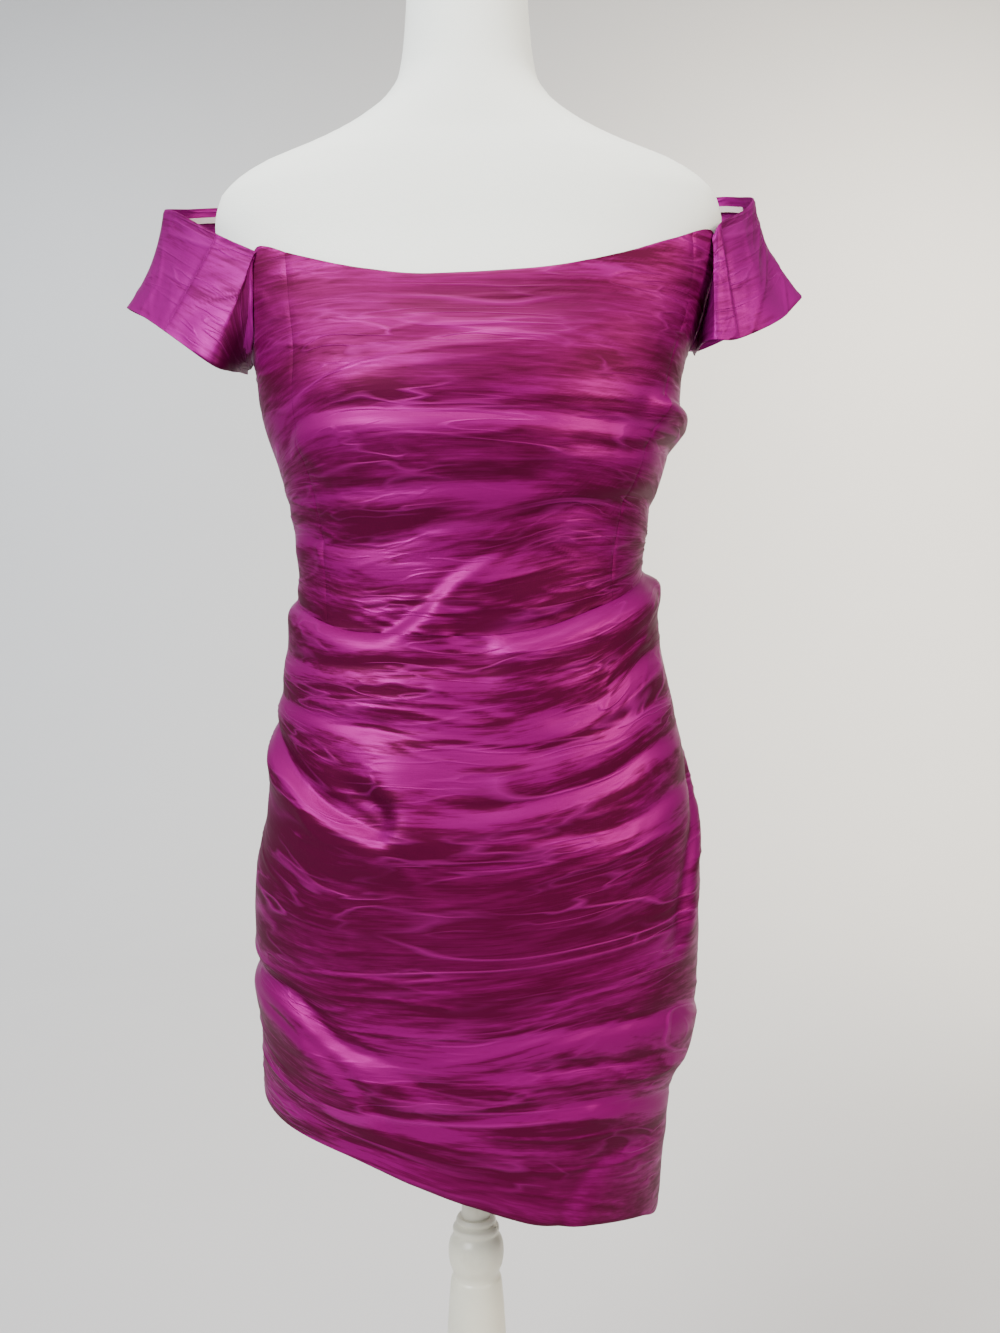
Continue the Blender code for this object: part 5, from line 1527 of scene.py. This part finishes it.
@dataclass
class BackZip:
    """The closed zip down the centre back, with its teeth, slider and pull tab."""

    tooth_size: tuple[float, float, float] = (0.0024, 0.0010, 0.0011)
    tooth_bevel: float = 0.00025
    pitch: float = 0.0024
    half_offset: float = 0.0011
    bottom: float = 0.903
    chain_top: float = 1.3565
    proud: float = 0.0002
    slider_room: float = 0.001
    teeth_finish: Enamel = Enamel(
        "zip_teeth", (0.230, 0.012, 0.110), (0.420, 0.120, 0.280), 0.0, 0.38
    )
    slider_finish: Enamel = Enamel(
        "zip_enamel", (0.250, 0.010, 0.115), (0.560, 0.420, 0.480), 0.6, 0.30
    )
    tape_finish: WovenTape = WovenTape(
        "zip_tape", (0.210, 0.011, 0.100), (0.130, 0.006, 0.055), False
    )

    def tooth(self) -> bpy.types.Object:
        """Models one tooth at the origin."""
        bpy.ops.object.select_all(action="DESELECT")
        bpy.ops.mesh.primitive_cube_add(size=1)
        tooth = bpy.context.active_object
        tooth.scale = self.tooth_size
        bpy.ops.object.transform_apply(location=True, rotation=True, scale=True)
        bpy.ops.object.mode_set(mode="EDIT")
        bpy.ops.mesh.select_all(action="SELECT")
        bpy.ops.mesh.bevel(offset=self.tooth_bevel, segments=1)
        bpy.ops.object.mode_set(mode="OBJECT")
        return tooth

    def centre_points(self, dress: Dress, heights: Array) -> Array:
        """Points of the zip's face down the centre back."""
        angle = np.full(len(heights), 180.0)
        points = dress.surface.point(angle, heights)
        points[:, 1] += dress.creases.stand(angle, heights)
        return points

    def build(self, dress: Dress, frame: dict[str, Any]) -> list[bpy.types.Object]:
        """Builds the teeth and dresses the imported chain, slider and tab."""
        tooth = self.tooth()
        shape = np.array([vertex.co for vertex in tooth.data.vertices])
        faces = [list(polygon.vertices) for polygon in tooth.data.polygons]
        bpy.data.objects.remove(tooth)
        slider_low, slider_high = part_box("zip_slider")
        heights = np.arange(self.bottom, self.chain_top, self.pitch)
        clear = (heights < slider_low.z - self.slider_room) | (
            heights > slider_high.z + self.slider_room
        )
        points, all_faces = [], []
        for sign in (-1, 1):
            rows = heights[clear] + sign * self.pitch / 4
            for centre in self.centre_points(dress, rows):
                start = len(points) * len(shape)
                points.append(shape + centre + (sign * self.half_offset, self.proud, 0))
                all_faces += [[start + corner for corner in face] for face in faces]
        finish = self.teeth_finish.material()
        teeth = add_mesh("zip_teeth_rows", np.concatenate(points), all_faces, finish)
        settle(teeth, 30)
        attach(teeth, Body.DRESS.value)
        nodes = frame["nodes"]
        nodes["zip_chain"].data.materials[0] = self.tape_finish.material()
        enamel = self.slider_finish.material()
        for name in ("zip_slider", "zip_tab"):
            nodes[name].data.materials[0] = enamel
        return [teeth]


@dataclass
class DressForm:
    """The limbless form: a torso under jersey, closed at the neck and underneath."""

    columns: int = 120
    row_step: float = 0.006
    edge_round: float = 0.006
    surface: BodySurface = BodySurface(FORM_SECTIONS)
    jersey: Jersey = Jersey("form_jersey", (0.860, 0.875, 0.805), (0.780, 0.800, 0.735))

    def build(self) -> list[bpy.types.Object]:
        """Builds the torso through its sections, with rounded ends."""
        low, high = FORM_BOTTOM, FORM_SECTIONS[0].height
        rows = round((high - low) / self.row_step)
        heights = np.linspace(low, high, rows + 1)[:, None]
        angles = (np.arange(self.columns) * 360 / self.columns - 180)[None, :]
        rings = self.surface.point(angles, heights)
        ends = self.rounded_end(rings[0], 1), self.rounded_end(rings[-1], -1)
        rings = np.concatenate([ends[0], rings[1:-1], ends[1]])
        count = len(rings)
        number = np.arange(count * self.columns).reshape(count, self.columns)
        beside = np.roll(number, -1, axis=1)
        faces = np.stack([number[:-1], beside[:-1], beside[1:], number[1:]], axis=-1)
        faces = faces.reshape(-1, 4).tolist()
        faces.append(number[0][::-1].tolist())
        faces.append(number[-1].tolist())
        torso = add_mesh("dress_form", rings.reshape(-1, 3), faces, self.jersey.material())
        settle(torso, 60)
        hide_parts("form_torso")
        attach(torso, Body.DRESS.value)
        return [torso]

    def rounded_end(self, ring: Array, upward: int) -> Array:
        """Rings of a rounded edge that starts inside an end ring.

        Args:
            ring: The end's ring.
            upward: 1 for the underside, -1 for the neck.

        Returns:
            The rings from the lowest to the highest.
        """
        turns = np.radians([0, 22.5, 45, 67.5])
        out = unit(ring * (1, 1, 0))
        rings = []
        for turn in turns:
            inset = self.edge_round * (1 - math.sin(turn))
            rise = self.edge_round * (1 - math.cos(turn))
            rings.append(ring - out * inset + (0, 0, upward * rise))
        return np.stack(rings if upward > 0 else rings[::-1])


@dataclass
class TurnedStand:
    """The turned post and base under cream paint."""

    segments: int = 72
    steps: int = 4
    paint: PaintedWood = PaintedWood("painted_wood", (0.700, 0.675, 0.540), (0.420, 0.370, 0.260))

    def turn(
        self, name: str, profile: tuple[TurnPoint, ...], material: bpy.types.Material
    ) -> bpy.types.Object:
        """Turns a piece: a disc at its foot is extruded and scaled up its profile.

        Args:
            name: The piece's name.
            profile: Its profile.
            material: Its finish.

        Returns:
            The piece.
        """
        rows = smooth_curve(profile[::-1], (len(profile) - 1) * self.steps + 1)
        bpy.ops.object.select_all(action="DESELECT")
        bpy.ops.mesh.primitive_circle_add(
            vertices=self.segments, radius=rows[0][0], fill_type="NGON",
            location=(0, 0, rows[0][1]),
        )
        piece = bpy.context.active_object
        piece.name = name
        bpy.ops.object.mode_set(mode="EDIT")
        bpy.ops.mesh.select_all(action="SELECT")
        for (radius, height), (next_radius, next_height) in zip(rows, rows[1:]):
            rise = (0, 0, max(next_height - height, 0.00001))
            bpy.ops.mesh.extrude_region_move(TRANSFORM_OT_translate={"value": rise})
            bpy.ops.transform.resize(value=(next_radius / radius, next_radius / radius, 1))
        bpy.ops.object.mode_set(mode="OBJECT")
        bpy.ops.object.transform_apply(location=True, rotation=True, scale=True)
        piece.data.materials.append(material)
        settle(piece, 40)
        return piece

    def build(self) -> list[bpy.types.Object]:
        """Builds the post and the base."""
        material = self.paint.material()
        made = []
        for name, node, profile in (
            ("turned_post", "stand_post", POST_PROFILE),
            ("turned_base", "stand_base", BASE_PROFILE),
        ):
            piece = self.turn(name, profile, material)
            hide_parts(node)
            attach(piece, Body.DRESS.value)
            made.append(piece)
        return made


class SoftLight(NamedTuple):
    """A square soft light that looks at a point."""

    name: str
    place: tuple[float, float, float]
    aim: tuple[float, float, float]
    size: float
    power: float
    colour: Colour


@dataclass
class Studio:
    """The pale floor, the soft lights and the camera at the photograph's angle."""

    floor_size: float = 60.0
    wall_place: float = 5.0
    wall_height: float = 9.0
    sweep: float = 2.2
    camera_place: tuple[float, float, float] = (0.0234, -0.96, 0.98)
    camera_roll: float = 0.0073
    lens: float = 31.06
    sky: Colour = (0.80, 0.82, 0.86)
    sky_strength: float = 0.50
    floor: PlainFloor = PlainFloor("pale_floor", (0.62, 0.61, 0.61))
    lights: tuple[SoftLight, ...] = (
        SoftLight("window", (-1.3, -1.6, 2.3), (0, 0, 1.0), 1.0, 105, (0.90, 0.94, 1.0)),
        SoftLight("lamp", (1.6, -1.3, 1.9), (0, 0, 0.9), 0.8, 50, (1.0, 0.90, 0.78)),
        SoftLight("ceiling", (0.0, -0.5, 3.4), (0, 0, 1.0), 1.4, 70, (1.0, 0.98, 0.95)),
        SoftLight("wall_left", (-2.6, 2.2, 3.2), (-1.6, 5.0, 1.2), 1.5, 110, (0.80, 0.90, 1.0)),
        SoftLight("wall_right", (2.6, 2.2, 3.2), (1.8, 5.0, 1.2), 1.5, 300, (1.0, 0.92, 0.76)),
    )

    def build(self) -> None:
        """Builds the floor, the sky, the lights and the camera."""
        self.add_floor()
        world = bpy.data.worlds.new("sky")
        world.use_nodes = True
        background = world.node_tree.nodes["Background"]
        background.inputs["Color"].default_value = (*self.sky, 1.0)
        background.inputs["Strength"].default_value = self.sky_strength
        bpy.context.scene.world = world
        for light in self.lights:
            self.add_light(light)
        self.add_camera()

    def add_floor(self) -> None:
        """Adds the floor, which sweeps up into a wall far behind the dress."""
        bpy.ops.object.select_all(action="DESELECT")
        bpy.ops.mesh.primitive_plane_add(
            size=self.floor_size, location=(0, self.wall_place - self.floor_size / 2, 0)
        )
        floor = bpy.context.active_object
        floor.name = "floor"
        bpy.ops.object.mode_set(mode="EDIT")
        bpy.ops.mesh.select_all(action="DESELECT")
        bpy.ops.object.mode_set(mode="OBJECT")
        bpy.ops.object.transform_apply(location=True, rotation=True, scale=True)
        for edge in floor.data.edges:
            places = [floor.data.vertices[end].co.y for end in edge.vertices]
            edge.select = min(places) > self.wall_place - 0.01
        bpy.ops.object.mode_set(mode="EDIT")
        rise = (0, 0, self.wall_height)
        bpy.ops.mesh.extrude_region_move(TRANSFORM_OT_translate={"value": rise})
        bpy.ops.object.mode_set(mode="OBJECT")
        bend = floor.modifiers.new("sweep", "BEVEL")
        bend.width = self.sweep
        bend.segments = 24
        bpy.ops.object.modifier_apply(modifier=bend.name)
        bpy.ops.object.shade_smooth()
        floor.data.materials.append(self.floor.material())

    def add_light(self, light: SoftLight) -> None:
        """Adds a soft light that doesn't show itself."""
        data = bpy.data.lights.new(light.name, "AREA")
        data.size = light.size
        data.energy = light.power
        data.color = light.colour
        made = bpy.data.objects.new(light.name, data)
        made.location = light.place
        made.visible_camera = False
        towards = Vector(light.aim) - Vector(light.place)
        made.rotation_euler = towards.to_track_quat("-Z", "Y").to_euler()
        bpy.context.scene.collection.objects.link(made)

    def add_camera(self) -> None:
        """Adds the level camera in front of the dress."""
        data = bpy.data.cameras.new("camera")
        data.lens = self.lens
        data.sensor_width = 36.0
        data.clip_start = 0.05
        camera = bpy.data.objects.new("camera", data)
        camera.location = self.camera_place
        camera.rotation_euler = (math.pi / 2, self.camera_roll, 0)
        bpy.context.scene.collection.objects.link(camera)
        bpy.context.scene.camera = camera


def main() -> None:
    """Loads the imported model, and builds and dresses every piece."""
    logging.basicConfig(level=logging.INFO, format="%(name)s: %(message)s")
    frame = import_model()
    dress = Dress()
    made = DressForm().build()
    made += dress.build()
    made += BackZip().build(dress, frame)
    made += TurnedStand().build()
    Studio().build()
    for piece in made:
        LOG.info("%s has %d faces", piece.name, len(piece.data.polygons))


if __name__ == "__main__":
    main()
